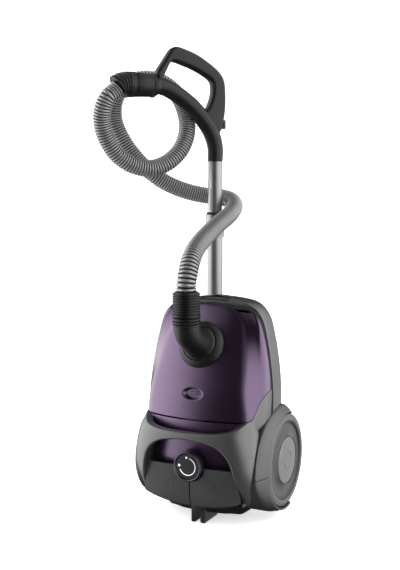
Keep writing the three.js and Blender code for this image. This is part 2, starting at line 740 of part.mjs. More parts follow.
function lowerTube() {
  const [low, high] = LOWER_Z;
  return onWand(pipe(LOWER_R, LOWER_R - TUBE_WALL, low, high, 20));
}

function tubeSeal() {
  const [, high] = SLEEVE_Z;
  return onWand(pipe(SLEEVE_R - 2, UPPER_R + GAP, high + GAP, high + 5, 20));
}

function handleGrip() {
  const body = solid(plate(GRIP_OUTLINE, -GRIP_THICK / 2, GRIP_THICK / 2, [GRIP_OPENING]));
  const tubeRoom = solid(rod(HANDLE_PATH, HANDLE_TUBE_R + GAP, 13, 16));
  const cut = body.subtract(tubeRoom).subtract(sliderSolid(GAP, SLIDER_TRAVEL));
  return solid(onHandle(geometryOf(cut)));
}

/** The hose end of the handle turns on the handle's tube. */
function handleConnector() {
  const shell = alongX(pipe(CONNECTOR_R, 16, CONNECTOR_OUT[0], CONNECTOR_OUT[1], 20));
  return solid(onHandle(shell.translate(0, 0, CONNECTOR_HIGH)));
}

function upperCuff() {
  const [, start] = CONNECTOR_OUT;
  const bend = [[GAP, 0], [8, 0], [20, -1], [34, -6], [47.5, -19.4]];
  const path = bend.map(([out, up]) => [start + out, 0, CONNECTOR_HIGH + up]);
  const bore = [[start - 10, 0, CONNECTOR_HIGH], ...path, [start + 58, 0, 900]];
  return solid(onHandle(rod(path, CUFF_R, 7, 18))).subtract(solid(onHandle(rod(bore, 16, 8, 12))));
}

/** The suction slider, or with grow and travel the slot that it runs in. */
function sliderSolid(grow, travel) {
  return block(-24, -17 + grow, -7 - grow, 7 + grow, 842 - grow, 862 + grow + travel);
}

function suctionSlider() {
  return solid(onHandle(geometryOf(sliderSolid(0, 0))));
}

/** A shape made about Z at the origin, moved to the wand. */
function onWand(shape) {
  return shape.translate(WAND.x, WAND.y, 0);
}

function lockSleeve() {
  const [low, high] = SLEEVE_Z;
  return onWand(pipe(SLEEVE_R, LOWER_R + GAP, low, high, 20));
}

function parkingHook() {
  const clamp = onWand(pipe(LOWER_R + 4, LOWER_R + GAP, 290, 322, 20));
  const { x } = WAND;
  const neck = block(x - 5, x + 5, 143, WAND.y - LOWER_R - 1, 296, 318);
  const head = block(x - 9, x + 9, 136, 142.5, 282, 318);
  return solid(clamp).add(neck.add(block(x - 5, x + 5, 142, 144, 296, 318))).add(head);
}

function exhaustGrille() {
  const [low, high] = EXHAUST.z;
  const { slots, pitch, slotHalf } = EXHAUST;
  let grille = bodyShell.intersect(exhaustWindow(-GAP)).subtract(block(-FAR, FAR, -FAR, FAR, high, FAR));
  for (let i = 0; i < slots; i += 1) {
    const z = low + 6 + i * pitch;
    grille = grille.subtract(block(-slotHalf, slotHalf, 0, FAR, z, z + pitch / 2));
  }
  return grille;
}

function cordOutlet() {
  return pipe(OUTLET.r, 4.5, 14, 34, 16).translate(OUTLET.x, OUTLET.y, 0);
}

function powerSwitch() {
  return block(...SWITCH.x, ...SWITCH.y, ...SWITCH.z);
}

function preMotorFilter() {
  return block(-FILTER.x, FILTER.x, ...FILTER.y, ...FILTER.z);
}

add('base_shell', baseShell(), 'greyMid');
add('bottom_cover', bottomCover(), 'blackMatte');
add('carry_handle', carryHandle(), 'greySatin');
add('inner_panel', innerPanel(), 'purpleGloss');
const panel = sidePanel();
add('side_panel_right', panel, 'greySatin');
add('side_panel_left', mirrored(panel), 'greySatin');
add('fender_right', fender(), 'greyMid');
add('fender_left', mirrored(fender()), 'greyMid');
add('tyre_right', tyre(), 'rubber');
add('tyre_left', mirrored(tyre()), 'rubber');
add('wheel_disc_right', wheelDisc(), 'greyDark');
add('wheel_disc_left', mirrored(wheelDisc()), 'greyDark');
add('axle_right', axle(), 'steel');
add('axle_left', mirrored(axle()), 'steel');
add('rear_foot_right', rearFoot(), 'blackMatte');
add('rear_foot_left', mirrored(rearFoot()), 'blackMatte');
add('parking_bracket', parkingBracket(), 'blackMatte');
add('pedal_power', pedal(-1), 'greyDark');
add('pedal_rewind', pedal(1), 'greyDark');
add('speed_knob', knob(), 'greyDark');
add('speed_potentiometer', potentiometer(), 'greyDark');
add('lid_gasket', lidGasket(), 'rubber');
add('bulkhead', bulkhead(), 'greyDark');
add('motor_housing', motorHousing(), 'steel');
add('fan_rotor', fanRotor(), 'steel');
add('cord_reel', cordReel(), 'blackSatin');
add('reel_axle', reelAxle(), 'steel');
add('dust_bag', dustBag(), 'paper');
add('bag_holder', bagHolder(), 'greyDark');
add('lid_shell', lidShell(), 'purpleGloss');
add('inlet_collar', inletCollar(), 'blackSatin');
add('indicator_lens', indicatorLens(), 'clear');
add('indicator_flag', indicatorFlag(), 'orange');
add('lid_latch', lidLatch(), 'greyDark');
add('caster_fork', casterFork(), 'greyDark');
add('caster_wheel', casterWheel(), 'rubber');
add('caster_pin', casterPin(), 'steel');
add('parking_slot', parkingSlot(), 'blackMatte');
add('elbow', elbow(), 'blackSatin');
add('elbow_button', elbowButtonSolid(0, 0), 'blackSatin');
add('hose_cuff_lower', lowerCuff(), 'blackSatin');
add('hose_lower', hoseLength(0), 'hoseGrey');
add('hose_middle', hoseLength(1), 'hoseGrey');
add('hose_upper', hoseLength(2), 'hoseGrey');
add('hose_cuff_upper', upperCuff(), 'blackSatin');
add('handle_connector', handleConnector(), 'blackSatin');
add('handle_tube', handleTube(), 'blackSatin');
add('handle_grip', handleGrip(), 'blackSatin');
add('suction_slider', suctionSlider(), 'greyMid');
add('upper_tube', upperTube(), 'tubeMetal');
add('lower_tube', lowerTube(), 'tubeMetal');
add('lock_sleeve', lockSleeve(), 'tubeMetal');
add('tube_seal', tubeSeal(), 'rubber');
add('parking_hook', parkingHook(), 'blackSatin');
add('exhaust_grille', exhaustGrille(), 'greyDark');
add('cord_outlet', cordOutlet(), 'rubber');
add('power_switch', powerSwitch(), 'greyDark');
add('pre_motor_filter', preMotorFilter(), 'foam');
add('lid_hinge_pin', hingePin(), 'steel');

export default group;
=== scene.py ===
# Bagged canister vacuum cleaner, parked upright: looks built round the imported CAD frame.
# Shapes are worked out in millimetres and turned into metres when each mesh is made.
import json
import math

import bmesh
import bpy
import numpy as np
from mathutils import Matrix, Vector
from mathutils.geometry import tessellate_polygon


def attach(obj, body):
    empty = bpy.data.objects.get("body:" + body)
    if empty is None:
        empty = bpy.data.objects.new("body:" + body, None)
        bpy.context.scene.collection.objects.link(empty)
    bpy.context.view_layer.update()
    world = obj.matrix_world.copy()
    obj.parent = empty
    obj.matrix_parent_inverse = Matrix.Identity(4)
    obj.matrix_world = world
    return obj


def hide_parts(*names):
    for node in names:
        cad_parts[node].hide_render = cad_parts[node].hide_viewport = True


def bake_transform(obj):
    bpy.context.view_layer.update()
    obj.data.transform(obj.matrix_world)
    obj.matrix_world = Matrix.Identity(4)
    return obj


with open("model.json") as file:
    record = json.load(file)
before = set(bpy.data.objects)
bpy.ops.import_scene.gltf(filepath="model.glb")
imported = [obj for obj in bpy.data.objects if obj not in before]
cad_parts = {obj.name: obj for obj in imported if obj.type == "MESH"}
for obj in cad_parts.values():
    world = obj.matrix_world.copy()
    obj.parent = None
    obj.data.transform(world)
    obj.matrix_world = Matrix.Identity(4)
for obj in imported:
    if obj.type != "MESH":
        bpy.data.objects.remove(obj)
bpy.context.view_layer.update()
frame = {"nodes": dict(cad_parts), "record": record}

MM = 0.001
BODY_OF = {n: b for b, nodes in frame["record"]["behaviour"]["bodies"].items() for n in nodes}
SLOT_OF = {s["node"]: s["material_slot"] for s in frame["record"]["subparts"]}


def linked(name, data):
    """A new object in the scene, round a mesh, a light or a camera."""
    made = bpy.data.objects.new(name, data)
    bpy.context.scene.collection.objects.link(made)
    return made


# ---------------------------------------------------------------- camera
CAMERA_TURN = math.radians(26.5)
CAMERA_PITCH = math.radians(6.0)
CAMERA_AWAY, CAMERA_SHIFT, CAMERA_HIGH = 2.0, -0.016, 0.7145


def make_camera():
    data = bpy.data.cameras.new("camera")
    data.lens, data.sensor_width, data.sensor_fit = 60.0, 36.0, "AUTO"
    camera = linked("camera", data)
    ahead = Vector((-math.sin(CAMERA_TURN), math.cos(CAMERA_TURN), 0))
    right = Vector((math.cos(CAMERA_TURN), math.sin(CAMERA_TURN), 0))
    camera.location = -ahead * CAMERA_AWAY + right * CAMERA_SHIFT + Vector((0, 0, CAMERA_HIGH))
    camera.rotation_euler = (math.pi / 2 - CAMERA_PITCH, 0, CAMERA_TURN)
    bpy.context.scene.camera = camera


make_camera()


# ---------------------------------------------------------------- materials
def new_material(name):
    material = bpy.data.materials.new(name)
    material.use_nodes = True
    tree = material.node_tree
    shader = tree.nodes["Principled BSDF"]
    return material, tree, shader


def node(tree, kind, **settings):
    made = tree.nodes.new(kind)
    for key, value in settings.items():
        if key in made.inputs:
            made.inputs[key].default_value = value
        else:
            setattr(made, key, value)
    return made


def noise(tree, where, scale, detail=3.0, stretch=None):
    """A noise texture on the object's own coordinates."""
    made = node(tree, "ShaderNodeTexNoise", Scale=scale, Detail=detail)
    if stretch:
        mapping = node(tree, "ShaderNodeMapping")
        mapping.inputs["Scale"].default_value = stretch
        tree.links.new(where, mapping.inputs["Vector"])
        where = mapping.outputs["Vector"]
    tree.links.new(where, made.inputs["Vector"])
    return made.outputs["Fac"]


def ramp(tree, source, stops):
    """A colour ramp with stops of (position, colour)."""
    made = node(tree, "ShaderNodeValToRGB")
    elements = made.color_ramp.elements
    while len(elements) < len(stops):
        elements.new(0.5)
    for element, (position, colour) in zip(elements, stops):
        element.position = position
        element.color = (*colour, 1) if len(colour) == 3 else colour
    tree.links.new(source, made.inputs["Fac"])
    return made.outputs["Color"]


def spread(tree, source, low, high):
    """Maps a value from 0..1 to low..high."""
    made = node(tree, "ShaderNodeMapRange")
    made.inputs["To Min"].default_value = low
    made.inputs["To Max"].default_value = high
    tree.links.new(source, made.inputs["Value"])
    return made.outputs["Result"]


def bump(tree, shader, height, strength, distance):
    made = node(tree, "ShaderNodeBump", Strength=strength, Distance=distance)
    tree.links.new(height, made.inputs["Height"])
    tree.links.new(made.outputs["Normal"], shader.inputs["Normal"])


def lin(code):
    """A colour from its hex code, as linear light."""
    parts = [int(code[i:i + 2], 16) / 255 for i in (1, 3, 5)]
    return [c / 12.92 if c <= 0.04045 else ((c + 0.055) / 1.055) ** 2.4 for c in parts]


def shade(code, factor):
    """A colour from its hex code, lighter or darker by a factor."""
    return [min(1.0, c * factor) for c in lin(code)]


def moulded(name, code, roughness, grain, depth, metallic=0.0, coat=0.0, coat_rough=0.1, vary=0.12):
    """Moulded plastic: fine grain in the surface, slight cloudiness in colour and gloss."""
    material, tree, shader = new_material(name)
    where = node(tree, "ShaderNodeTexCoord").outputs["Object"]
    clouds = noise(tree, where, 14.0, 4.0)
    colour = ramp(tree, clouds, [(0.3, shade(code, 1 - vary)), (0.7, shade(code, 1 + vary))])
    tree.links.new(colour, shader.inputs["Base Color"])
    smudge = noise(tree, where, 38.0, 5.0)
    tree.links.new(spread(tree, smudge, roughness * 0.86, roughness * 1.16), shader.inputs["Roughness"])
    shader.inputs["Metallic"].default_value = metallic
    shader.inputs["Coat Weight"].default_value = coat
    shader.inputs["Coat Roughness"].default_value = coat_rough
    if grain:
        bump(tree, shader, noise(tree, where, grain, 2.0), depth, 0.0004)
    return material


def metallic_paint(name, dark, light, roughness):
    """Lacquered metallic finish: fine flakes under a clear coat, with the least of orange peel."""
    material, tree, shader = new_material(name)
    where = node(tree, "ShaderNodeTexCoord").outputs["Object"]
    cells = node(tree, "ShaderNodeTexVoronoi", Scale=2600.0)
    tree.links.new(where, cells.inputs["Vector"])
    fleck = ramp(tree, cells.outputs["Distance"], [(0.0, lin(light)), (0.55, lin(dark))])
    clouds = noise(tree, where, 9.0, 3.0)
    mixed = node(tree, "ShaderNodeMix", data_type="RGBA", blend_type="MULTIPLY")
    mixed.inputs[0].default_value = 0.3
    tree.links.new(fleck, mixed.inputs[6])
    tree.links.new(ramp(tree, clouds, [(0.3, (0.8, 0.8, 0.8)), (0.7, (1, 1, 1))]), mixed.inputs[7])
    tree.links.new(mixed.outputs[2], shader.inputs["Base Color"])
    tree.links.new(spread(tree, clouds, roughness * 0.9, roughness * 1.1), shader.inputs["Roughness"])
    shader.inputs["Metallic"].default_value = 0.95
    shader.inputs["Coat Weight"].default_value = 1.0
    shader.inputs["Coat IOR"].default_value = 1.9
    shader.inputs["Coat Roughness"].default_value = 0.3
    bump(tree, shader, noise(tree, where, 420.0, 1.0), 0.02, 0.0003)
    return material


def rubber(name, code):
    material, tree, shader = new_material(name)
    where = node(tree, "ShaderNodeTexCoord").outputs["Object"]
    dust = noise(tree, where, 60.0, 6.0)
    tree.links.new(ramp(tree, dust, [(0.35, shade(code, 0.85)), (0.75, shade(code, 1.45))]),
                   shader.inputs["Base Color"])
    tree.links.new(spread(tree, dust, 0.62, 0.86), shader.inputs["Roughness"])
    shader.inputs["Specular IOR Level"].default_value = 0.35
    bump(tree, shader, noise(tree, where, 900.0, 3.0), 0.22, 0.0004)
    return material


def brushed(name, code, roughness, stretch):
    """Metal with fine lines drawn along it."""
    material, tree, shader = new_material(name)
    where = node(tree, "ShaderNodeTexCoord").outputs["Object"]
    lines = noise(tree, where, 70.0, 5.0, stretch)
    tree.links.new(ramp(tree, lines, [(0.3, shade(code, 0.86)), (0.7, shade(code, 1.1))]),
                   shader.inputs["Base Color"])
    tree.links.new(spread(tree, lines, roughness * 0.75, roughness * 1.3), shader.inputs["Roughness"])
    shader.inputs["Metallic"].default_value = 0.95
    bump(tree, shader, lines, 0.06, 0.0002)
    return material


def ribbed(name, groove, crest_highlight, roughness):
    """Ribbed plastic with painted light: each rib's crest is painted bright as a highlight and the grooves between
    the ribs are painted dark as shade.
    """
    material, tree, shader = new_material(name)
    where = node(tree, "ShaderNodeTexCoord").outputs["Object"]
    painted_rib_light = node(tree, "ShaderNodeAttribute", attribute_name="painted_rib_light").outputs["Fac"]
    # Painted light: the groove colour is painted shade for the grooves, the crest colour a painted highlight on the
    # rib crests.
    stops = [(0.25, lin(groove)), (0.8, lin(crest_highlight))]
    tree.links.new(ramp(tree, painted_rib_light, stops), shader.inputs["Base Color"])
    worn = noise(tree, where, 160.0, 4.0)
    tree.links.new(spread(tree, worn, roughness - 0.05, roughness + 0.07), shader.inputs["Roughness"])
    shader.inputs["Metallic"].default_value = 0.75
    shader.inputs["Coat Weight"].default_value = 0.15
    shader.inputs["Coat Roughness"].default_value = 0.3
    return material


def fleece(name, code, scale):
    material, tree, shader = new_material(name)
    where = node(tree, "ShaderNodeTexCoord").outputs["Object"]
    fibres = noise(tree, where, scale, 8.0)
    tree.links.new(ramp(tree, fibres, [(0.35, shade(code, 0.8)), (0.65, shade(code, 1.08))]),
                   shader.inputs["Base Color"])
    shader.inputs["Roughness"].default_value = 0.95
    bump(tree, shader, fibres, 0.5, 0.001)
    return material


def clear_plastic(name, code):
    material, tree, shader = new_material(name)
    where = node(tree, "ShaderNodeTexCoord").outputs["Object"]
    haze = noise(tree, where, 40.0, 3.0)
    tree.links.new(ramp(tree, haze, [(0.3, shade(code, 0.92)), (0.7, lin(code))]), shader.inputs["Base Color"])
    tree.links.new(spread(tree, haze, 0.04, 0.1), shader.inputs["Roughness"])
    shader.inputs["Transmission Weight"].default_value = 0.85
    shader.inputs["IOR"].default_value = 1.49
    return material


MATERIALS = {
    "lid_gloss": metallic_paint("lid_lacquer", "#4c2859", "#61396f", 0.32),
    "grey_body": moulded("grey_satin", "#6e6e6e", 0.36, 900.0, 0.03, 0.85, 0.2, 0.3, 0.05),
    "black_moulding": moulded("black_grain", "#121212", 0.55, 1100.0, 0.16),
    "soft_rubber": rubber("soft_rubber", "#1c1c1c"),
    "wheel_gloss": moulded("wheel_semi_gloss", "#303030", 0.26, 700.0, 0.03, 0.5, 0.3, 0.12, 0.06),
    "bare_steel": brushed("drawn_steel", "#b4b4b6", 0.32, (1, 1, 14)),
    "dark_moulding": moulded("dark_satin", "#2a2a2b", 0.42, 1300.0, 0.12, 0.1),
    "knob_gloss": moulded("knob_face", "#1b191c", 0.3, 900.0, 0.04, 0.2, 0.3, 0.1),
    "bag_paper": fleece("bag_fleece", "#d9d3c4", 420.0),
    "filter_foam": fleece("filter_foam", "#3b3f45", 260.0),
    "window_clear": clear_plastic("window_clear", "#8d8793"),
    "flag_orange": moulded("flag_orange", "#c85a1e", 0.5, 900.0, 0.05),
    "black_satin": moulded("handle_black", "#0e0e0e", 0.42, 1500.0, 0.10),
    # The hose's dark groove colour is painted shade and its light crest colour a painted highlight.
    "hose_grey": ribbed("hose_silver", "#161616", "#9c9c9c", 0.36),
    "fender_grey": moulded("housing_satin", "#5c5c5c", 0.34, 900.0, 0.03, 0.85, 0.2, 0.3, 0.05),
    "tread_grey": moulded("tread_satin", "#565656", 0.42, 900.0, 0.08, 0.35, 0.08, 0.3, 0.08),
    "panel_gloss": metallic_paint("panel_lacquer", "#553062", "#6b4379", 0.40),
    "print_white": moulded("print_white", "#d9d9d9", 0.5, 900.0, 0.03),
    "bezel_gloss": metallic_paint("bezel_lacquer", "#2b1633", "#5a3a68", 0.16),
    "hub_grey": moulded("hub_grey", "#6a6a6a", 0.3, 700.0, 0.03, 0.5, 0.2, 0.15, 0.06),
    "tube_metal": brushed("tube_lacquered", "#a9a9ab", 0.4, (1, 1, 0.06)),
}


# ---------------------------------------------------------------- curves
def smooth_curve(points, per_step=12, closed=False):
    """Points along a centripetal Catmull-Rom curve through the given points."""
    p = np.array(points, float)
    if closed:
        p = np.vstack([p[-1], p, p[0], p[1]])
    else:
        p = np.vstack([2 * p[0] - p[1], p, 2 * p[-1] - p[-2]])
    made = []
    for i in range(1, len(p) - 2):
        a, b, c, d = p[i - 1:i + 3]
        d0, d1, d2 = (max(np.linalg.norm(q - r), 1e-9) ** 0.5 for q, r in ((a, b), (b, c), (c, d)))
        t1 = ((b - a) / d0 - (c - a) / (d0 + d1) + (c - b) / d1) * d1
        t2 = ((c - b) / d1 - (d - b) / (d1 + d2) + (d - c) / d2) * d1
        t = (np.arange(per_step) / per_step)[:, None]
        made.append(b + t1 * t + (-3 * b + 3 * c - 2 * t1 - t2) * t ** 2 + (2 * b - 2 * c + t1 + t2) * t ** 3)
    if not closed:
        made.append(p[-2][None])
    return np.vstack(made)


def distances(line):
    return np.concatenate([[0], np.cumsum(np.linalg.norm(np.diff(line, axis=0), axis=1))])


def at_distances(line, where):
    along = distances(line)
    return np.stack([np.interp(where, along, line[:, k]) for k in range(3)], axis=1)


def frames_along(line):
    """Two cross directions at each point of a line, turned as little as possible from point to point."""
    tangents = np.gradient(line, axis=0)
    tangents /= np.linalg.norm(tangents, axis=1)[:, None]
    side = np.cross(tangents[0], (0.3, 0.2, 0.93))
    side /= np.linalg.norm(side)
    sides = []
    for tangent in tangents:
        side = side - tangent * np.dot(side, tangent)
        side = side / np.linalg.norm(side)
        sides.append(side)
    sides = np.array(sides)
    return sides, np.cross(tangents, sides)


# ---------------------------------------------------------------- meshes
def mesh_object(name, verts, faces, smooth_angle=40.0):
    """A mesh object from millimetre points."""
    mesh = bpy.data.meshes.new(name)
    mesh.from_pydata([tuple(v) for v in np.asarray(verts, float) * MM], [], [tuple(f) for f in faces])
    mesh.validate()
    made = linked(name, mesh)
    shade_by_angle(made, smooth_angle)
    return made


def shade_by_angle(obj, angle):
    mesh = obj.data
    mesh.polygons.foreach_set("use_smooth", [True] * len(mesh.polygons))
    mesh.set_sharp_from_angle(angle=math.radians(angle))


def grid_faces(rows, columns, wrap_rows=False, wrap_columns=False):
    """Faces between the points of a grid, row by row."""
    faces = []
    for i in range(rows if wrap_rows else rows - 1):
        for j in range(columns if wrap_columns else columns - 1):
            a, b = i * columns + j, i * columns + (j + 1) % columns
            k = (i + 1) % rows
            faces.append((a, b, k * columns + (j + 1) % columns, k * columns + j))
    return faces


def end_caps(rows, columns):
    """The two faces that close a stack of rings at its ends."""
    return [tuple(reversed(range(columns))), tuple(range((rows - 1) * columns, rows * columns))]


def tube_mesh(line, radii, sides):
    """Points and faces of a round tube of changing radius round a line."""
    side, up = frames_along(line)
    angle = np.linspace(0, 2 * math.pi, sides, endpoint=False)
    ring = side[:, None] * np.cos(angle)[None, :, None] + up[:, None] * np.sin(angle)[None, :, None]
    verts = (line[:, None] + ring * np.asarray(radii, float)[:, None, None]).reshape(-1, 3)
    return verts, grid_faces(len(line), sides, wrap_columns=True) + end_caps(len(line), sides)


def evaluated(obj):
    """Applies an object's modifiers to its mesh."""
    dg = bpy.context.evaluated_depsgraph_get()
    mesh = bpy.data.meshes.new_from_object(obj.evaluated_get(dg))
    obj.modifiers.clear()
    obj.data = mesh
    return obj


def cut(obj, cutter):
    """Takes another closed mesh away, and removes it."""
    step = obj.modifiers.new("cut", "BOOLEAN")
    step.operation, step.object, step.solver = "DIFFERENCE", cutter, "MANIFOLD"
    bpy.context.view_layer.update()
    evaluated(obj)
    bpy.data.objects.remove(cutter)
    return obj


def round_edges(obj, width, segments=3, angle=35.0, clamp=False):
    step = obj.modifiers.new("round", "BEVEL")
    step.width, step.segments, step.limit_method = width * MM, segments, "ANGLE"
    step.angle_limit, step.use_clamp_overlap = math.radians(angle), clamp
    step.miter_outer, step.harden_normals = "MITER_ARC", False
    bpy.context.view_layer.update()
    return evaluated(obj)


def thicken(obj, thickness):
    """Gives a sheet a thickness, inwards."""
    step = obj.modifiers.new("thick", "SOLIDIFY")
    step.thickness, step.offset, step.use_even_offset = thickness * MM, -1, True
    bpy.context.view_layer.update()
    return evaluated(obj)


def place(obj, nodes, slot=None, material=None, body=None, angle=None):
    """Puts a finished piece in place of CAD nodes: body, material slot and material."""
    nodes = [nodes] if isinstance(nodes, str) else list(nodes)
    if angle is not None:
        shade_by_angle(obj, angle)
    slot = slot or SLOT_OF[nodes[0]]
    obj.data.materials.clear()
    obj.data.materials.append(material or MATERIALS[slot])
    if nodes and body is None:
        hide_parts(*nodes)
    if body != "none":
        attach(obj, body or BODY_OF[nodes[0]])
    return obj


# ---------------------------------------------------------------- hose
HOSE = [
    [0, -98, 500.4], [0, -98, 512], [0, -93, 531], [-2, -77, 557], [-7, -42, 583], [-11, 12, 606],
    [-12, 78, 630], [-14, 142, 650], [-26, 193, 668], [-51, 222, 681], [-82, 229, 687],
    [-110, 221, 690], [-144, 200, 698], [-178, 175, 713], [-210, 151, 736], [-243, 129, 772],
    [-271, 109, 818], [-287, 98, 866], [-282, 97, 912], [-259, 105, 943], [-224, 122, 956],
    [-186, 143, 948], [-154, 156, 920], [-134, 158, 878], [-124, 147, 838], [-128, 126, 797],
    [-147, 98, 766], [-173, 70, 752], [-201, 41, 757], [-226, 13, 779], [-242, -9, 815],
    [-244, -24, 853], [-234, -31, 885], [-224.6, -28, 903.6], [-218.8, -20.6, 911.5],
    [-211, -10.5, 922],
]
HOSE_SPLITS = [0, 0.23, 0.48, 1]
HOSE_SIDES = 26
RIB_STEPS = 8
# How the hose stretches: distance along it, spacing of the ribs, outer radius.
STRETCH = [[0, 8.2, 21.0], [60, 7.2, 20.6], [130, 5.8, 19.8], [220, 5.0, 19.4], [420, 5.0, 19.4],
           [620, 5.8, 19.4], [1500, 6.0, 19.4]]


def rib_radius(along, turn):
    """A ribbed hose's radius: rounded ribs with narrow grooves between them, deeper where it is stretched."""
    far, pitch, outer = np.array(STRETCH, float).T
    hump = np.clip(np.sin(np.pi * (turn % 1.0)), 0, 1) ** 0.7
    return np.interp(along, far, outer) - 0.5 * np.interp(along, far, pitch) * (1 - hump)


def make_hose():
    whole = smooth_curve(HOSE, 40)
    total = distances(whole)[-1]
    far, pitch, _ = np.array(STRETCH, float).T
    every = np.linspace(0, total, 4000)
    turns = np.concatenate([[0], np.cumsum(np.diff(every) / np.interp(every[1:], far, pitch))])
    ribs = round(turns[-1])
    turns *= ribs / turns[-1]
    names = ("hose_lower", "hose_middle", "hose_upper")
    made = []
    for i, name in enumerate(names):
        first, last = (round(np.interp(HOSE_SPLITS[k] * total, every, turns)) for k in (i, i + 1))
        turn = np.linspace(first, last, (last - first) * RIB_STEPS + 1)
        along = np.interp(turn, turns, every)
        line = at_distances(whole, along)
        verts, faces = tube_mesh(line, rib_radius(along, turn), HOSE_SIDES)
        tube = mesh_object(name + "_ribbed", verts, faces, 75)
        # Painted light mask: 1 on each rib's crest for a painted highlight, 0 in the grooves for painted shade.
        painted_rib_light = np.clip(np.sin(np.pi * (turn % 1.0)), 0, 1)
        mark = tube.data.attributes.new("painted_rib_light", "FLOAT", "POINT")
        mark.data.foreach_set("value", np.resize(np.repeat(painted_rib_light, HOSE_SIDES), len(tube.data.vertices)))
        place(tube, name, body="none")
        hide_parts(name)
        made.append((tube, line))
    return made


hose_pieces = make_hose()


def declare_hose(upper_cuff):
    """Bakes the placement of each of the three hose lengths into its mesh."""
    lower, middle, upper = hose_pieces
    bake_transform(lower[0])
    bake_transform(middle[0])
    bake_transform(upper[0])


# ---------------------------------------------------------------- CAD nodes that stay as they are
for name, obj in frame["nodes"].items():
    obj.data.materials.clear()
    obj.data.materials.append(MATERIALS[SLOT_OF[name]])


# ---------------------------------------------------------------- the canister's surface
# Sections: height, half width, front, half width of the front face, its crown, start of the side, back.
BODY = [
    [20, 88, -28, 60, 8, -5, 100], [48, 112, -62, 82, 14, -15, 120], [130, 130, -72, 104, 20, -15, 127],
    [231, 139, -77, 117, 24, -6, 128], [290, 139, -70, 110, 21, 0, 128], [345, 134, -46, 102, 18, 6, 126],
    [400, 125, -20, 92, 13, 14, 122], [432, 117, -3, 80, 10, 19, 118], [450, 107, 7, 62, 8, 24, 113],
    [463, 93, 17, 46, 6, 31, 107], [473, 68, 31, 34, 4, 42, 99],
]
ROOF = [[475.6, 52, 41, 26, 3, 48, 91], [476.8, 32, 51, 16, 2, 56, 82], [477.1, 8, 62, 5, 1, 64, 70]]
# Carrying handle sections: height, corner x, corner y, front.
CARRY = [
    [34, 78, -28, -34], [42, 98, -40, -48], [54, 113, -50, -62], [92, 129, -64, -92], [123, 135, -72, -103],
    [144, 136, -73, -106], [193, 132, -66, -107], [210, 128, -62, -105], [221, 123, -56, -99],
    [234, 119.5, -50.5, -86],
]
PER = 20


def row_at(table, z):
    """A table's row at a height, on a smooth curve through its rows."""
    table = np.asarray(table, float)
    heights = table[:, 0]
    slopes = np.gradient(table, heights, axis=0)
    i = int(np.clip(np.searchsorted(heights, z, "right") - 1, 0, len(table) - 2))
    h = heights[i + 1] - heights[i]
    t = (z - heights[i]) / h
    return ((2 * t ** 3 - 3 * t ** 2 + 1) * table[i] + (t ** 3 - 2 * t ** 2 + t) * h * slopes[i]
            + (3 * t ** 2 - 2 * t ** 3) * table[i + 1] + (t ** 3 - t ** 2) * h * slopes[i + 1])


def body_half(row, inset=0.0):
    """The right half of a body section, from the front centre to the back centre."""
    _, width, front, face, crown, side, back = row
    w, f, b, c = width - inset, front + inset, back - inset, face - inset * 0.8
    before, corner = np.array([c * 0.88, f + crown * 0.72]), np.array([c, f + crown + 2])
    after = np.array([c + (w - c) * 0.85, side - 6])
    near, far = corner + (before - corner) * 0.16, corner + (after - corner) * 0.06
    return [[0, f], [c * 0.5, f + crown * 0.22], before, near, far, corner + (after - corner) * 0.35,
            corner + (after - corner) * 0.7, after, [w, side + 10], [w + 1, 56],
            [w - 5, b - 40], [w * 0.86, b - 12], [w * 0.55, b - 1], [0, b]]


def carry_half(row, inset=0.0):
    """The right half of a carrying handle section, from the front centre to the back centre."""
    _, x, y, f = row
    x, y, f = x - inset, y + inset * 0.8, f + inset
    return [[0, f], [x * 0.5, f + (y - f) * 0.09], [x * 0.82, f + (y - f) * 0.35], [x, y], [x + 5, y + 28],
            [x + 3, 20], [x * 0.6, 40], [0, 42]]


def blurred(values, passes, wrap):
    """Evens a grid out along its first axis."""
    for _ in range(passes):
        if wrap:
            values = (np.roll(values, 1, 0) + 2 * values + np.roll(values, -1, 0)) / 4
        else:
            values = np.concatenate([values[:1], (values[:-2] + 2 * values[1:-1] + values[2:]) / 4, values[-1:]])
    return values


class Skin:
    """A smooth closed surface round the Z axis: u counts its section's points from the front centre, right first."""

    def __init__(self, table, half, low, high, inset=0.0):
        self.z = np.linspace(low, high, int((high - low) / 1.5) + 2)
        rings = []
        for z in self.z:
            right = half(row_at(table, z), inset)
            left = [[-p[0], p[1]] for p in reversed(right[1:-1])]
            rings.append(smooth_curve([list(p) for p in right] + left, PER, True))
        evened = blurred(np.array(rings), 26, False)
        self.xy = blurred(evened.swapaxes(0, 1), 60, True).swapaxes(0, 1)
        self.count = self.xy.shape[1]
        self.round = self.count / PER

    def at(self, u, z):
        """Points on the surface."""
        u, z = np.broadcast_arrays(np.asarray(u, float), np.asarray(z, float))
        a = (u * PER) % self.count
        i = np.floor(a).astype(int) % self.count
        k, s = (i + 1) % self.count, (a - np.floor(a))[..., None]
        b = np.interp(z, self.z, np.arange(len(self.z)))
        j = np.clip(np.floor(b).astype(int), 0, len(self.z) - 2)
        t = (b - j)[..., None]
        low = self.xy[j, i] * (1 - s) + self.xy[j, k] * s
        high = self.xy[j + 1, i] * (1 - s) + self.xy[j + 1, k] * s
        return np.concatenate([low * (1 - t) + high * t, z[..., None]], -1)

    def u_by_length(self, z, lengths):
        """The u at given distances from the front centre, along the section at a height."""
        line = self.xy[int(np.interp(z, self.z, np.arange(len(self.z))))]
        half = line[: self.count // 2 + 1]
        along = np.concatenate([[0], np.cumsum(np.linalg.norm(np.diff(half, axis=0), axis=1))])
        return np.interp(lengths, along, np.arange(len(half)) / PER)


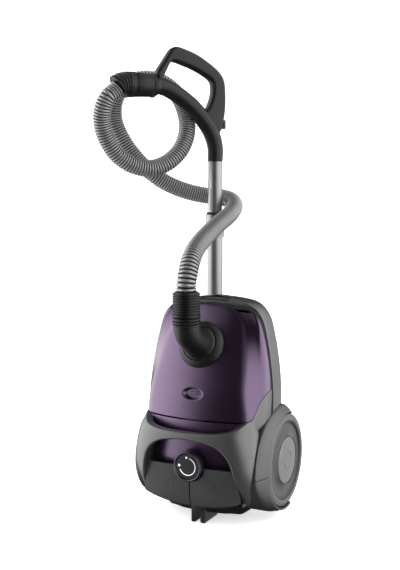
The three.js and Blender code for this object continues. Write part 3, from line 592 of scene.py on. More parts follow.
def crossing(values, where):
    """The first place at which values turn positive."""
    k = int(np.argmax(values > 0))
    if k == 0:
        return where[0] if values[0] > 0 else where[-1]
    share = -values[k - 1] / (values[k] - values[k - 1])
    return where[k - 1] + (where[k] - where[k - 1]) * share


def patch(name, points, smooth_angle=30.0):
    """A sheet from a grid of points."""
    rows, columns = points.shape[:2]
    return mesh_object(name, points.reshape(-1, 3), grid_faces(rows, columns), smooth_angle)


TOP_Z = 477.1
WHEEL_Y, WHEEL_Z = 78, 124
KNOB_Z = 135
LEAD_OUTLET = (52, 62, 0)
# The wheel housing's outline reaches this far from the wheel's centre; its rim is round.
FENDER_FRONT, FENDER_BACK, FENDER_UP, FENDER_DOWN, FENDER_RIM = 146.0, 74.0, 122.0, 108.0, 107
skin = Skin(BODY, body_half, 20, 473)
tall = Skin(BODY + ROOF, body_half, 20, TOP_Z)

# ---------------------------------------------------------------- lid
SEAM_Y = 17.0
lid_edge = smooth_curve([[-200, 231.3], [-60, 231.3], [-51, 232], [-40, 236], [-31, 247.5], [-23, 261],
                         [-13, 274.5], [-1, 283], [11, 287.5], [22, 290]], 16)


def lid_low(y):
    """The height of the lid's lower edge at a depth."""
    return np.interp(y, lid_edge[:, 0], lid_edge[:, 1])


def lid_at(u, z):
    """The lid's surface, which runs into the roof's near its top."""
    t = np.clip((np.asarray(z, float) - 400) / 40, 0, 1)[..., None]
    t = t * t * (3 - 2 * t)
    return skin.at(u, z) * (1 - t) + tall.at(u, z) * t


def lid_column(u):
    """The lowest and highest point of the lid along one u."""
    zs = np.arange(229.0, 472.5, 0.5)
    y = lid_at(u, zs)[:, 1]
    low = crossing(zs - lid_low(y), zs)
    above = zs >= low
    return low, crossing((y - SEAM_Y)[above], zs[above])


def lid_points():
    """The lid as a grid of points, closer together where it bends or ends."""
    lengths = np.concatenate([np.arange(0, 32, 1.1), np.arange(32, 150, 2.2), np.arange(150, 240, 1.2)])
    us = skin.u_by_length(270, lengths)
    columns = [(u, *lid_column(u)) for u in us]
    u, low, high = np.array([c for c in columns if c[2] - c[1] > 1.2]).T
    u = np.concatenate([-u[:0:-1], u])
    low, high = (np.concatenate([edge[:0:-1], edge]) for edge in (low, high))
    heights = np.concatenate([np.arange(231.3, 264, 2.2), np.arange(264, 304, 1.1), np.arange(304, 462, 2.2), [465]])
    t = ((heights - heights[0]) / (heights[-1] - heights[0]))[:, None]
    z = low[None] * (1 - t) + high[None] * t
    return lid_at(np.broadcast_to(u, z.shape), z)


WINDOW_Z = 284.0


def press_dish(points):
    """Presses the oval dish of the bag indicator into the lid."""
    reach = np.sqrt((points[..., 0] / 23.5) ** 2 + ((points[..., 2] - WINDOW_Z) / 12.5) ** 2)
    t = np.clip((1.02 - reach) / 0.3, 0, 1)
    points[..., 1] += 8.0 * t * t * (3 - 2 * t) * np.where(np.abs(points[..., 0]) < 30, 1, 0)
    return points


def make_block(name, x0, x1, y0, y1, z0, z1):
    verts = [(x, y, z) for x in (x0, x1) for y in (y0, y1) for z in (z0, z1)]
    faces = [(0, 1, 3, 2), (4, 6, 7, 5), (0, 4, 5, 1), (2, 3, 7, 6), (0, 2, 6, 4), (1, 5, 7, 3)]
    return mesh_object(name, verts, faces)


def lathe(name, profile, segments=64, axis="z", angle=35.0):
    """Turns a closed outline of [radius, height] pairs about an axis; radius 0 ends make a solid."""
    profile = np.array(profile, float)
    hollow = profile[0][0] > 0
    turn = np.linspace(0, 2 * math.pi, segments, endpoint=False)
    verts = np.stack([profile[:, None, 0] * np.cos(turn), profile[:, None, 0] * np.sin(turn),
                      np.broadcast_to(profile[:, None, 1], (len(profile), segments))], -1)
    made = mesh_object(name, verts.reshape(-1, 3), grid_faces(len(profile), segments, hollow, True), angle)
    weld(made)
    if axis == "x":
        made.data.transform(Matrix.Rotation(math.pi / 2, 4, "Y"))
    if axis == "-y":
        made.data.transform(Matrix.Rotation(math.pi / 2, 4, "X"))
    return made


def weld(obj, distance=0.02, angle=None):
    """Joins near points, joins faces that are flat within an angle, and turns all faces outwards."""
    work = bmesh.new()
    work.from_mesh(obj.data)
    bmesh.ops.remove_doubles(work, verts=work.verts, dist=distance * MM)
    if angle is not None:
        bmesh.ops.dissolve_limit(work, angle_limit=math.radians(angle), verts=work.verts, edges=work.edges)
    bmesh.ops.recalc_face_normals(work, faces=work.faces)
    work.to_mesh(obj.data)
    work.free()
    return obj


def move(obj, x=0.0, y=0.0, z=0.0):
    obj.data.transform(Matrix.Translation((x * MM, y * MM, z * MM)))
    return obj


INLET = (0, -27, 380)
INLET_TILT = math.radians(23)


def at_inlet(obj):
    """Moves a piece made about Z, with its top outwards, onto the hose inlet."""
    obj.data.transform(Matrix.Rotation(math.pi / 2 - INLET_TILT, 4, "X"))
    return move(obj, *INLET)


def make_lid():
    lid = patch("lid", press_dish(lid_points()))
    thicken(lid, 3)
    round_edges(lid, 0.9, 3, 50)
    cut(lid, at_inlet(lathe("cutter", [[0, -30], [45, -30], [45, 60], [0, 60]], 64)))
    cut(lid, make_block("cutter", -8.8, 8.8, -100, -50, WINDOW_Z - 4.4, WINDOW_Z + 4.2))
    place(lid, "lid_shell", angle=38)


make_lid()


# ---------------------------------------------------------------- base, seam, panels
def loft_closed(name, skin_used, us, zs):
    """A closed solid from a skin between its first and last heights."""
    grid = skin_used.at(us[None, :], zs[:, None])
    rows, columns = grid.shape[:2]
    faces = grid_faces(rows, columns, wrap_columns=True) + end_caps(rows, columns)
    return mesh_object(name, grid.reshape(-1, 3), faces, 30)


def round_us(used, step):
    """Even steps all the way round a skin."""
    return np.arange(0, used.round, step)


inside = Skin(BODY, body_half, 23, 470, 3.0)
BACK_Y = 27.2


def fender_ring(x, share, inset=0.0):
    """The wheel housing's outline at one x; share goes from 0, its own shape, to 1, its rim."""
    angle = np.linspace(0, 2 * math.pi, 120, endpoint=False)
    reach = np.where(np.cos(angle) < 0, FENDER_FRONT, FENDER_BACK)
    rise = np.where(np.sin(angle) > 0, FENDER_UP, FENDER_DOWN)
    y = (np.where(np.cos(angle) < 0, reach + (FENDER_RIM - reach) * share, reach) - inset) * np.cos(angle)
    z = (rise + (FENDER_RIM - rise) * share - inset) * np.sin(angle)
    return np.stack([np.full(len(angle), float(x)), WHEEL_Y + y, WHEEL_Z + z], -1)


def fender_solid(name, grow=0.0):
    """The room of one wheel housing, as a plain solid."""
    rings = [fender_ring(101 - grow, 0, -grow), fender_ring(158 + grow, 0, -grow)]
    return close_rings(name, rings)


def close_rings(name, rings, angle=35.0):
    """A closed solid from a stack of rings."""
    count = len(rings[0])
    faces = grid_faces(len(rings), count, wrap_columns=True) + end_caps(len(rings), count)
    made = mesh_object(name, np.concatenate(rings), faces, angle)
    work = bmesh.new()
    work.from_mesh(made.data)
    bmesh.ops.recalc_face_normals(work, faces=work.faces)
    work.to_mesh(made.data)
    work.free()
    return made


def mirror_mesh(obj, name):
    """A copy on the other side of the machine."""
    mesh = obj.data.copy()
    mesh.transform(Matrix.Scale(-1, 4, (1, 0, 0)))
    mesh.flip_normals()
    return linked(name, mesh)


def mirrored(obj, name):
    """Moves a piece to the other side of the machine."""
    twin = mirror_mesh(obj, name)
    bpy.data.objects.remove(obj)
    return twin


def cut_fenders(obj):
    """Clears the room that the two wheel housings take."""
    for side in (1, -1):
        fender = fender_solid("cutter", 0.3)
        cut(obj, fender if side > 0 else mirrored(fender, "cutter_left"))


def make_base():
    heights = np.concatenate([np.arange(47, 440, 4.0), np.arange(440, TOP_Z, 1.5), [TOP_Z]])
    outer = loft_closed("base", tall, round_us(tall, 0.2), heights)
    room = np.concatenate([np.arange(40, 452, 6.0), [454]])
    cut(outer, loft_closed("cutter", inside, round_us(inside, 0.25), room))
    cut_fenders(outer)
    openings = {
        "lid": (-300, 300, -300, BACK_Y, 200, 600),
        "bay": (-300, 300, -300, -30, 0, 600),
        "exhaust grille": (-52.3, 52.3, 100, 300, 139.7, 204.3),
        "latch": (-32.6, 32.6, 28.4, 46.6, 452, 600),
    }
    for box in openings.values():
        cut(outer, make_block("cutter", *box))
    cut(outer, move(lathe("cutter", [[0, -200], [7.3, -200], [7.3, 0], [0, 0]], 48, "-y"), 0, 0, 395))
    weld(outer)
    place(outer, "base_shell", angle=32)


make_base()


def make_seam():
    """The black seal that follows the joint between the lid and the base."""
    zs = np.arange(236.0, TOP_Z, 2.0)
    right = []
    for z in zs:
        u = np.linspace(0, tall.round / 2, 400)
        y = tall.at(u, z)[:, 1]
        if y.min() > 22:
            break
        k = crossing(y - 22, u)
        right.append(tall.at(k, z))
    right = np.array(right)
    line = np.vstack([right, (right * [-1, 1, 1])[::-1]])
    line = at_distances(line, np.arange(0, distances(line)[-1], 2.5))
    inward = np.stack([-line[:, 0], np.zeros(len(line)), 300 - line[:, 2]], -1)
    inward /= np.linalg.norm(inward, axis=1)[:, None]
    section = [(-4.7, 6.0), (-4.7, 1.5), (-4.0, 0.7), (-1.2, 0.7), (0, 1.4), (1.2, 0.7), (4.0, 0.7), (4.7, 1.5),
               (4.7, 6.0)]
    verts = np.stack([line + inward * deep + [0, y, 0] for y, deep in section], 1)
    seam = mesh_object("seam_seal", verts.reshape(-1, 3), grid_faces(len(line), len(section), wrap_columns=True), 40)
    weld(seam)
    place(seam, "lid_gasket")


make_seam()


def make_wing(sign):
    """The grey panel beside the lid's lower corner."""
    def column(u):
        zs = np.arange(200.0, 300.0, 0.5)
        y = skin.at(u, zs)[:, 1]
        return crossing(zs - lid_low(y) + 1.0, zs)
    every = np.linspace(0, 9.5, 900)
    lane = skin.at(every, 226.0)
    start = crossing(lane[:, 0] - 109.9, every)
    us = np.linspace(start, crossing(lane[:, 1] - SEAM_Y + 0.5, every), 70)
    high = np.array([column(u) for u in us])
    t = np.linspace(0, 1, 26)[:, None]
    z = 196 * (1 - t) + high[None] * t
    points = skin.at(np.broadcast_to(us, z.shape), z)
    name = "side_panel_right" if sign > 0 else "side_panel_left"
    wing = patch(name + "_skin", points)
    thicken(wing, 3)
    round_edges(wing, 0.8, 2, 50)
    place(wing if sign > 0 else mirrored(wing, name + "_twin"), name, angle=38)


for sign in (1, -1):
    make_wing(sign)


# ---------------------------------------------------------------- carrying handle
carry = Skin(CARRY, carry_half, 34, 234)
OPENING = [(0, 194), (30, 192.2), (56, 187.2), (78, 176), (92, 160), (100, 140), (105, 120), (111, 92), (115, 71),
           (113, 59), (106, 50), (97, 43)]
CARRY_TOP = [(40, 209.5), (75, 212.5), (101, 219), (114, 228)]


def carry_u(x, z):
    """Where the carrying handle's front has a width at a height."""
    us = np.linspace(0, 3.4, 300)
    return float(np.interp(x, carry.at(us, z)[:, 0], us))


def carry_rear_u(z):
    """Where the carrying handle meets the wheel housing, or the plane that it ends on."""
    reach = (z - WHEEL_Z) / (FENDER_UP if z > WHEEL_Z else FENDER_DOWN)
    meets = min(WHEEL_Y - FENDER_FRONT * math.sqrt(1 - reach * reach) - 0.5, -30.5)
    us = np.linspace(2.5, 4.6, 400)
    return float(crossing(carry.at(us, z)[:, 1] - meets, us))


def carry_depth(points, uz, share):
    """How far back the handle's rear face lies: along y at the opening, square to the skin at its outer edge."""
    along = carry.at(uz[..., 0] + 0.02, uz[..., 1]) - carry.at(uz[..., 0] - 0.02, uz[..., 1])
    along /= np.linalg.norm(along, axis=-1, keepdims=True)
    inward = np.stack([-along[..., 1], along[..., 0], np.zeros(along.shape[:-1])], -1) * 16
    t = np.clip((points[..., :1] - 50) / 50, 0, 1)
    straight = (16 + 12 * t * t * (3 - 2 * t)) * np.array([0, 1.0, 0])
    return straight * (1 - share) + inward * share


def rounded_column(front, offset, radius=3.8):
    """A closed ring round one slice of the handle: front, back, and rounded corners between them."""
    along = distances(front)
    deep = np.linalg.norm(offset, axis=1)
    length = along[-1]
    bend = np.linspace(0, math.pi / 2, 6)
    r = min(radius, length * 0.45)
    across = np.linspace(r, length - r, 16)[1:-1]
    ring = [(r - r * math.cos(a), r - r * math.sin(a), 0) for a in bend]
    ring += [(a, 0, 0) for a in across]
    ring += [(length - r + r * math.sin(a), r - r * math.cos(a), 0) for a in bend]
    ring += [(length - r + r * math.cos(a), r - r * math.sin(a), 1) for a in bend]
    ring += [(a, 0, 1) for a in across[::-1]]
    ring += [(r - r * math.sin(a), r - r * math.cos(a), 1) for a in bend]
    a, b, rear = np.array(ring).T
    depth = np.interp(a, along, deep)
    share = np.where(rear > 0, 1 - b / depth, b / depth)
    at = np.stack([np.interp(a, along, front[:, k]) for k in range(3)], -1)
    step = np.stack([np.interp(a, along, offset[:, k]) for k in range(3)], -1)
    return at + step * share[:, None]


def make_carry():
    inner = smooth_curve([[x, z] for x, z in OPENING], 12)
    inner[0, 0] = 0
    inner_uz = np.array([[carry_u(x, max(z, 35)), max(z, 35)] for x, z in inner])
    rear = [[carry_rear_u(z), z] for z in (222, 211, 200, 186, 172, 156, 140, 124, 108, 92, 76, 62, 52, 44)]
    top = [[carry_u(x, z), z] for x, z in CARRY_TOP]
    outer_line = smooth_curve([[0, 209], *top, [3.1, 233.2], [3.5, 233.6], [3.85, 230], *rear], 12)
    pick = np.linspace(0, 1, 110)
    ends = []
    for line in (inner_uz, outer_line):
        scaled = line * [25, 1]
        along = distances(scaled) / distances(scaled)[-1]
        ends.append(np.stack([np.interp(pick, along, line[:, k]) for k in (0, 1)], -1))
    t = np.linspace(0, 1, 30)[:, None, None]
    uz = ends[0][None] * (1 - t) + ends[1][None] * t
    right = carry.at(uz[..., 0], uz[..., 1])
    offset = carry_depth(right, uz, t)
    rings = [rounded_column(right[:, k], offset[:, k]) for k in range(right.shape[1])]
    rings = [ring * [-1, 1, 1] for ring in rings[:0:-1]] + rings
    arch = close_rings("carry_arch", rings, 45)
    place(arch, "carry_handle", angle=45)


make_carry()


# ---------------------------------------------------------------- wheel housings
def at_wheel(obj, out=0):
    """Moves a piece made about X onto the wheels' axis."""
    return move(obj, out, WHEEL_Y, WHEEL_Z)


def make_fender():
    profile = [(101, 0, 0), (132, 0, 0), (138, 0, 0.3), (141, 0.02, 0.9), (143.2, 0.08, 1.6), (145.4, 0.2, 1.9),
               (148.2, 0.42, 1.9), (151.4, 0.74, 1.4), (153.3, 0.93, 0.8), (154, 1.0, 1.0)]
    rings = [fender_ring(*p) for p in profile]
    fender = close_rings("fender_shell", rings, 28)
    well = [(0, 125), (101.5, 125), (102.5, 126), (102.5, 152), (103.6, 153.4), (104.2, 155), (104.2, 220), (0, 220)]
    cut(fender, at_wheel(lathe("cutter", well, 128, "x")))
    cut(fender, make_block("cutter", -300, 300, 150, 400, -100, 500))
    groove = make_block("cutter", 100, 160, -120, -24, 114.4, 115.5)
    cut(fender, groove)
    weld(fender)
    twin = mirror_mesh(fender, "fender_shell_left")
    place(fender, "fender_right", angle=28)
    place(twin, "fender_left", angle=28)


make_fender()


# ---------------------------------------------------------------- wheels
def make_wheels():
    out = 7
    tread = []
    for i in range(6):
        x = 126.5 + i * 2.4
        tread += [(100, x), (98.9, x + 0.3), (98.9, x + 0.9), (100, x + 1.2)]
    tyre = [(85.2, 121), (96, 121), (98.6, 121.9), (99.7, 123.6), (100, 125.4)] + tread
    tyre += [(100, 142), (99.2, 143.6), (97.6, 144.6), (89.5, 146.2), (86.6, 146.2), (85.2, 145.4)]
    ring = at_wheel(lathe("tyre_ring", tyre, 128, "x", 30), out)
    disc = [(5.4, 122), (16, 122), (18, 136), (79, 138), (79, 124), (83.8, 124), (84.6, 125), (84.6, 143.4),
            (83.6, 144.8), (82, 145), (80.8, 144), (79.6, 142.2), (76, 141.4), (66, 141.8), (58, 143), (53.5, 144.6),
            (51.6, 145.2), (50.8, 144.6), (50.6, 143), (5.4, 141)]
    dish = at_wheel(lathe("wheel_dish", disc, 128, "x", 30), out)
    hub = [(0, 141.5), (49.9, 143.2), (50, 145.6), (49.2, 146.4), (47, 146.9), (30, 147.8), (19.4, 148.2),
           (18.6, 147.4), (17.4, 147.4), (16.6, 148.2), (8, 148.45), (0, 148.5)]
    cap = at_wheel(lathe("wheel_hub", hub, 96, "x", 30), out)
    for piece, nodes in ((ring, ("tyre_right", "tyre_left")), (dish, ("wheel_disc_right", "wheel_disc_left")),
                         (cap, None)):
        twin = mirror_mesh(piece, piece.name + "_left")
        if nodes:
            place(piece, nodes[0], angle=30)
            place(twin, nodes[1], angle=30)
        else:
            place(piece, [], slot="wheel_gloss", material=MATERIALS["hub_grey"], body="wheel_right", angle=30)
            place(twin, [], slot="wheel_gloss", material=MATERIALS["hub_grey"], body="wheel_left", angle=30)


make_wheels()


# ---------------------------------------------------------------- moulded pieces
def from_node(name):
    """A copy of a CAD node's mesh with its flat facets joined."""
    source = frame["nodes"][name]
    mesh = source.data.copy()
    mesh.transform(source.matrix_world)
    if "custom_normal" in mesh.attributes:
        mesh.attributes.remove(mesh.attributes["custom_normal"])
    return weld(linked(name + "_fine", mesh), 0.02, 3.0)


def soften(name, width, segments=3, angle=35.0):
    """A CAD solid with rounded edges."""
    made = from_node(name)
    round_edges(made, width, segments, angle, True)
    return place(made, name, angle=angle)


def extra(obj, slot, body, material=None, angle=None):
    """A detail that has no CAD node of its own."""
    return place(obj, [], slot=slot, body=body, material=material, angle=angle)


def wire(name, points, radius, sides=10):
    """A thin round line through points."""
    line = np.asarray(points, float)
    verts, faces = tube_mesh(line, np.full(len(line), radius), sides)
    return mesh_object(name, verts, faces, 60)


def make_cover():
    heights = np.concatenate([np.arange(20, 46.7, 2.5), [46.7]])
    cover = loft_closed("cover", tall, round_us(tall, 0.2), heights)
    cut(cover, loft_closed("cutter", inside, round_us(inside, 0.25), np.array([23.0, 36.0, 60.0])))
    cut_fenders(cover)
    cut(cover, make_block("cutter", -16.3, 16.3, -60, 19.3, -10, 36))
    cut(cover, move(lathe("cutter", [[0, -50], [9.3, -50], [9.3, 60], [0, 60]], 32), *LEAD_OUTLET))
    weld(cover)
    round_edges(cover, 1.2, 2, 50, True)
    place(cover, "bottom_cover", angle=35)


def make_inner_panel():
    reach = np.linspace(-1, 1, 90)
    every = np.linspace(0, 7, 700)
    rows = []
    for z in np.linspace(128.8, 228.4, 46):
        wide = skin.at(every, z)[:, 0]
        us = np.interp(np.abs(reach) * 109.6, wide, every) * np.sign(reach)
        rows.append(skin.at(us, z))
    panel = thicken(patch("inner_panel_skin", np.array(rows)), 3)
    cut(panel, lathe("cutter", [[0, 0], [8, 0], [8, 100], [0, 100]], 32, "-y"))
    round_edges(panel, 0.7, 2, 50)
    place(panel, "inner_panel", material=MATERIALS["panel_gloss"], angle=35)


make_cover()
make_inner_panel()
for side in ("right", "left"):
    soften("rear_foot_" + side, 2.5, 4)
soften("parking_bracket", 1.2, 3)


# ---------------------------------------------------------------- pedals and knob
PEDAL_GAP, PEDAL_EDGE = 1.2, 104
PEDAL_FOOT, PEDAL_TOP = 48, 132


def pedal_depth(x, z):
    """Where the pedals' face lies: it falls back at the sides and at the foot."""
    low = np.clip((80 - z) / 32, 0, 1)
    return -85 + 7 * (np.abs(x) / PEDAL_EDGE) ** 2.4 + 6.5 * low ** 2


def make_pedal(sign, name):
    xs = np.linspace(PEDAL_GAP, PEDAL_EDGE, 58)
    if sign < 0:
        xs = -xs[::-1]
    low = PEDAL_FOOT + 17 * (np.abs(xs) / PEDAL_EDGE) ** 3
    t = np.linspace(0, 1, 40)[:, None]
    z = low[None] * (1 - t) + PEDAL_TOP * t
    edge = np.interp(z, [PEDAL_FOOT, 60, 71, 92, 120, PEDAL_TOP], [98, 110, 112.6, 109, 103.6, 101])
    x = xs * (edge - PEDAL_GAP) / (PEDAL_EDGE - PEDAL_GAP)
    pedal = thicken(patch(name + "_skin", np.stack([x, pedal_depth(x, z), z], -1)), 5.5)
    cut(pedal, move(lathe("cutter", [[0, 0], [34, 0], [34, 120], [0, 120]], 72, "-y"), 0, 0, KNOB_Z))
    round_edges(pedal, 0.9, 3, 50, True)
    place(pedal, name, angle=40)


def on_pedal(points):
    """Lays a line drawn across (x, z) on the pedals' face."""
    return [(x, float(pedal_depth(x, z)) - 0.1, z) for x, z in points]


def arc(cx, cz, radius, start, end, steps=30):
    turn = np.radians(np.linspace(start, end, steps))
    return [(cx + radius * math.cos(a), cz + radius * math.sin(a)) for a in turn]


def make_symbols():
    lines = [
        ("power_ring", arc(-48, 90, 9, 125, 415), "power_pedal"),
        ("power_bar", [(-48, 92), (-48, 96), (-48, 101)], "power_pedal"),
        ("rewind_ring", arc(48, 90, 12, 245, 475), "rewind_pedal"),
        ("rewind_tip", [(41, 100.4), (43.4, 101.4), (42.2, 97.6)], "rewind_pedal"),
        ("rewind_plug", arc(48, 88, 4.4, 180, 360, 12) + [(52.4, 92), (48, 92), (43.6, 92), (43.6, 88)],
         "rewind_pedal"),
        ("rewind_pin_a", [(46, 92), (46, 94), (46, 96.5)], "rewind_pedal"),
        ("rewind_pin_b", [(50, 92), (50, 94), (50, 96.5)], "rewind_pedal"),
        ("rewind_cord", [(48, 83.6), (48, 81), (48, 78)], "rewind_pedal"),
    ]
    for name, points, body in lines:
        extra(wire(name, on_pedal(points), 0.55, 8), "dark_moulding", body)


def make_knob():
    body = [(0, 78), (30.6, 78), (31.8, 79.2), (31.8, 88.6), (31.2, 89.6), (26.8, 90), (26.8, 93.6), (26.2, 94.4),
            (0, 94.8)]
    place(move(lathe("knob_body", body, 96, "-y", 30), 0, 0, KNOB_Z), "speed_knob")
    bezel = [(26.9, 90.2), (31.2, 89.9), (32, 91), (32, 93.8), (31.4, 95.8), (30.2, 96.8), (29, 97), (27.9, 96.4),
             (27.1, 94.9), (26.9, 93)]
    ring = move(lathe("knob_bezel", bezel, 96, "-y", 50), 0, 0, KNOB_Z)
    extra(ring, "knob_gloss", "knob", MATERIALS["bezel_gloss"])
    printed = []
    steps, middle, under, over = 60, 18, -94.6, -95.05
    for i, angle in enumerate(np.radians(np.linspace(76, -158, steps))):
        half = 0.45 + 0.45 * i / (steps - 1)
        inner, outer = middle - half, middle + half
        for radius, y in ((inner, under), (outer, under), (outer, over), (inner, over)):
            printed.append((radius * math.cos(angle), y, KNOB_Z + radius * math.sin(angle)))
    last = 4 * steps - 1
    faces = grid_faces(steps, 4, wrap_columns=True) + [(0, 1, 2, 3), (last, last - 1, last - 2, last - 3)]
    extra(weld(mesh_object("knob_scale", printed, faces)), "knob_gloss", "knob", MATERIALS["print_white"])
    for name, angle, size in (("knob_low_mark", 97, 1.9), ("knob_high_mark", 176, 2.6)):
        dot = lathe(name, [(0, 94.4), (size, 94.4), (size, 95.0), (0, 95.05)], 24, "-y")
        turn = math.radians(angle)
        away = middle + 1
        move(dot, away * math.cos(turn), 0, KNOB_Z + away * math.sin(turn))
        extra(dot, "knob_gloss", "knob", MATERIALS["print_white"])


make_pedal(-1, "pedal_power")
make_pedal(1, "pedal_rewind")
make_symbols()
make_knob()


# ---------------------------------------------------------------- inlet, elbow and lower cuff
def fins(start, end, pitch, low, high):
    """Radius and height pairs of a row of rounded fins."""
    pairs = []
    for z in np.arange(start, end - pitch + 0.01, pitch):
        pairs += [(low, z), (low, z + pitch * 0.22), (high - 0.5, z + pitch * 0.38), (high, z + pitch * 0.55),
                  (high, z + pitch * 0.72), (high - 0.5, z + pitch * 0.88)]
    return pairs


def make_inlet():
    bell = [(37.1, -22), (43.8, -22), (43.8, 0.2), (50.4, 0.2), (51, 0.9), (51, 2.4), (50.4, 4.2), (48.8, 6.6),
            (46.4, 9.2), (43.6, 11.6), (41, 13.4), (39.2, 14.6), (38, 15), (37.4, 14.5), (37.1, 13.4)]
    place(at_inlet(lathe("inlet_bell", bell, 128, "z", 50)), "inlet_collar")


ELBOW = [[0, -36, 384], [0, -52, 390.5], [0, -70, 398.5], [0, -87, 411], [0, -96, 427], [0, -98, 441],
         [0, -98, 449.6]]


def make_elbow():
    line = smooth_curve(ELBOW, 10)
    line = at_distances(line, np.linspace(0, distances(line)[-1], 220))
    along = distances(line)
    end = along[-1]
    radii = np.interp(along, [0, 5.4, 7, 9.5, 16, 28, 45, 60, end - 17, end - 16.4, end - 15, end - 14.6, end],
                      [36.9, 36.7, 35.4, 32.8, 31.2, 29.6, 28.2, 27.8, 27.8, 28.8, 28.8, 27.0, 27.0])
    turn = ((end - along) / 5.3 + 0.5) % 1.0
    ribs = 25.6 + 3.1 * np.clip(np.sin(np.pi * turn) * 1.8 - 0.3, 0, 1)
    radii = np.where(along > end - 14.6, ribs, radii)
    verts, faces = tube_mesh(line, radii, 72)
    place(mesh_object("elbow_bend", verts, faces, 40), "elbow")
    soften("elbow_button", 1.6, 4)
    pocket = from_node("elbow_button")
    pocket.name = "elbow_button_rim"
    centre = sum((v.co for v in pocket.data.vertices), Vector()) / len(pocket.data.vertices)
    grown = Matrix.Translation(centre) @ Matrix.Scale(1.2, 4) @ Matrix.Translation(-centre)
    pocket.data.transform(Matrix.Translation((-2.6 * MM, 0, 0)) @ grown)
    extra(round_edges(pocket, 2.0, 3, 35, True), "black_satin", "elbow", angle=40)


def make_lower_cuff():
    outer = [(28.0, 450), (28.8, 450.8), (28.8, 454)] + fins(455, 498, 5.3, 25.2, 28.7) + [(25.2, 497.6), (24, 499.8)]
    cuff = move(lathe("cuff_fins", [(18, 450)] + outer + [(18, 499.8)], 80, "z", 40), 0, ELBOW[-1][1], 0)
    return place(cuff, "hose_cuff_lower")


make_inlet()
make_elbow()
cuff_at_elbow = make_lower_cuff()


# ---------------------------------------------------------------- wand
WAND_X, WAND_Y = -67, 176


def on_wand(obj):
    return move(obj, WAND_X, WAND_Y, 0)


def make_wand():
    inner = [(14.8, 250.6), (15.2, 250), (15.7, 250), (16, 250.5), (16, 800), (14.8, 800)]
    place(on_wand(lathe("wand_upper", inner, 96)), "upper_tube")
    outer = [(16.3, 215.8), (16.6, 215), (17.2, 215), (17.5, 215.7), (17.5, 222), (17.2, 222.5), (17.2, 224),
             (17.5, 224.5), (17.5, 648), (16.3, 648)]
    place(on_wand(lathe("wand_lower", outer, 96)), "lower_tube")
    sleeve = [(17.8, 596), (20.6, 596), (21.3, 596.8), (21.5, 598)] + fins(600, 622, 3.6, 20.9, 21.5)
    sleeve += [(20.9, 622), (21.5, 623.4), (21.5, 645.6), (21, 647.2), (19.6, 648), (17.8, 648)]
    place(on_wand(lathe("sleeve_grip", sleeve, 96, "z", 30)), "lock_sleeve")
    seal = [(16.3, 648.3), (19, 648.3), (19.5, 649), (19.5, 651.6), (18.8, 652.7), (17.2, 653), (16.3, 652.6)]
    place(on_wand(lathe("seal_ring", seal, 96, "z", 40)), "tube_seal")
    rib = wire("lock_rib", [(-0.23 * 15.9, -0.97 * 15.9, z) for z in (656, 658, 670, 690, 704, 706)], 1.6, 16)
    extra(on_wand(rib), "tube_metal", "wand_upper", angle=40)
    soften("parking_hook", 1.1, 3)
    soften("parking_slot", 1.2, 3)


make_wand()

# ---------------------------------------------------------------- handle
HANDLE_TURN = math.radians(-127.7)
CONNECTOR_Z = 932
HANDLE_PATH = [[0, 0, 768], [0, 0, 800], [10, 0, 832], [36, 0, 868], [72, 0, 900], [112, 0, 924],
               [136, 0, CONNECTOR_Z], [150.8, 0, CONNECTOR_Z]]
GRIP_OUTLINE = [[140, 936], [149, 950], [149, 958], [131, 986], [112, 1013], [104, 1018.4], [96, 1018.6], [74, 1013],
                [51, 1005], [20, 988], [-6, 969], [-18, 952], [-22, 928], [-22, 890], [-17, 856], [-11, 837],
                [-2, 829], [12, 831], [28, 842], [34, 870], [60, 900], [110, 926]]
GRIP_OPENING = [[130, 951], [122, 968], [114.5, 983], [111, 986.5], [106, 986], [80, 979], [51, 969], [16, 950],
                [12, 945], [10.5, 939], [11, 918], [16, 902], [22, 888], [28, 881], [36, 880], [60, 899], [90, 923],
                [118, 938], [128, 945]]


def on_handle(obj):
    """Stands a piece drawn across (out, height) on the wand's axis in the handle's plane."""
    obj.data.transform(Matrix.Rotation(HANDLE_TURN, 4, "Z"))
    return on_wand(obj)


def closed_outline(points, spacing=2.2, passes=8):
    """An even, smooth loop through points, running anticlockwise."""
    loop = smooth_curve(points, 10, True)
    loop = np.vstack([loop, loop[:1]])
    along = distances(loop)
    where = np.linspace(0, along[-1], int(along[-1] / spacing), endpoint=False)
    loop = blurred(np.stack([np.interp(where, along, loop[:, k]) for k in (0, 1)], -1), passes, True)
    x, z = loop.T
    turning = np.sum(x * np.roll(z, -1) - z * np.roll(x, -1))
    return loop if turning > 0 else loop[::-1]


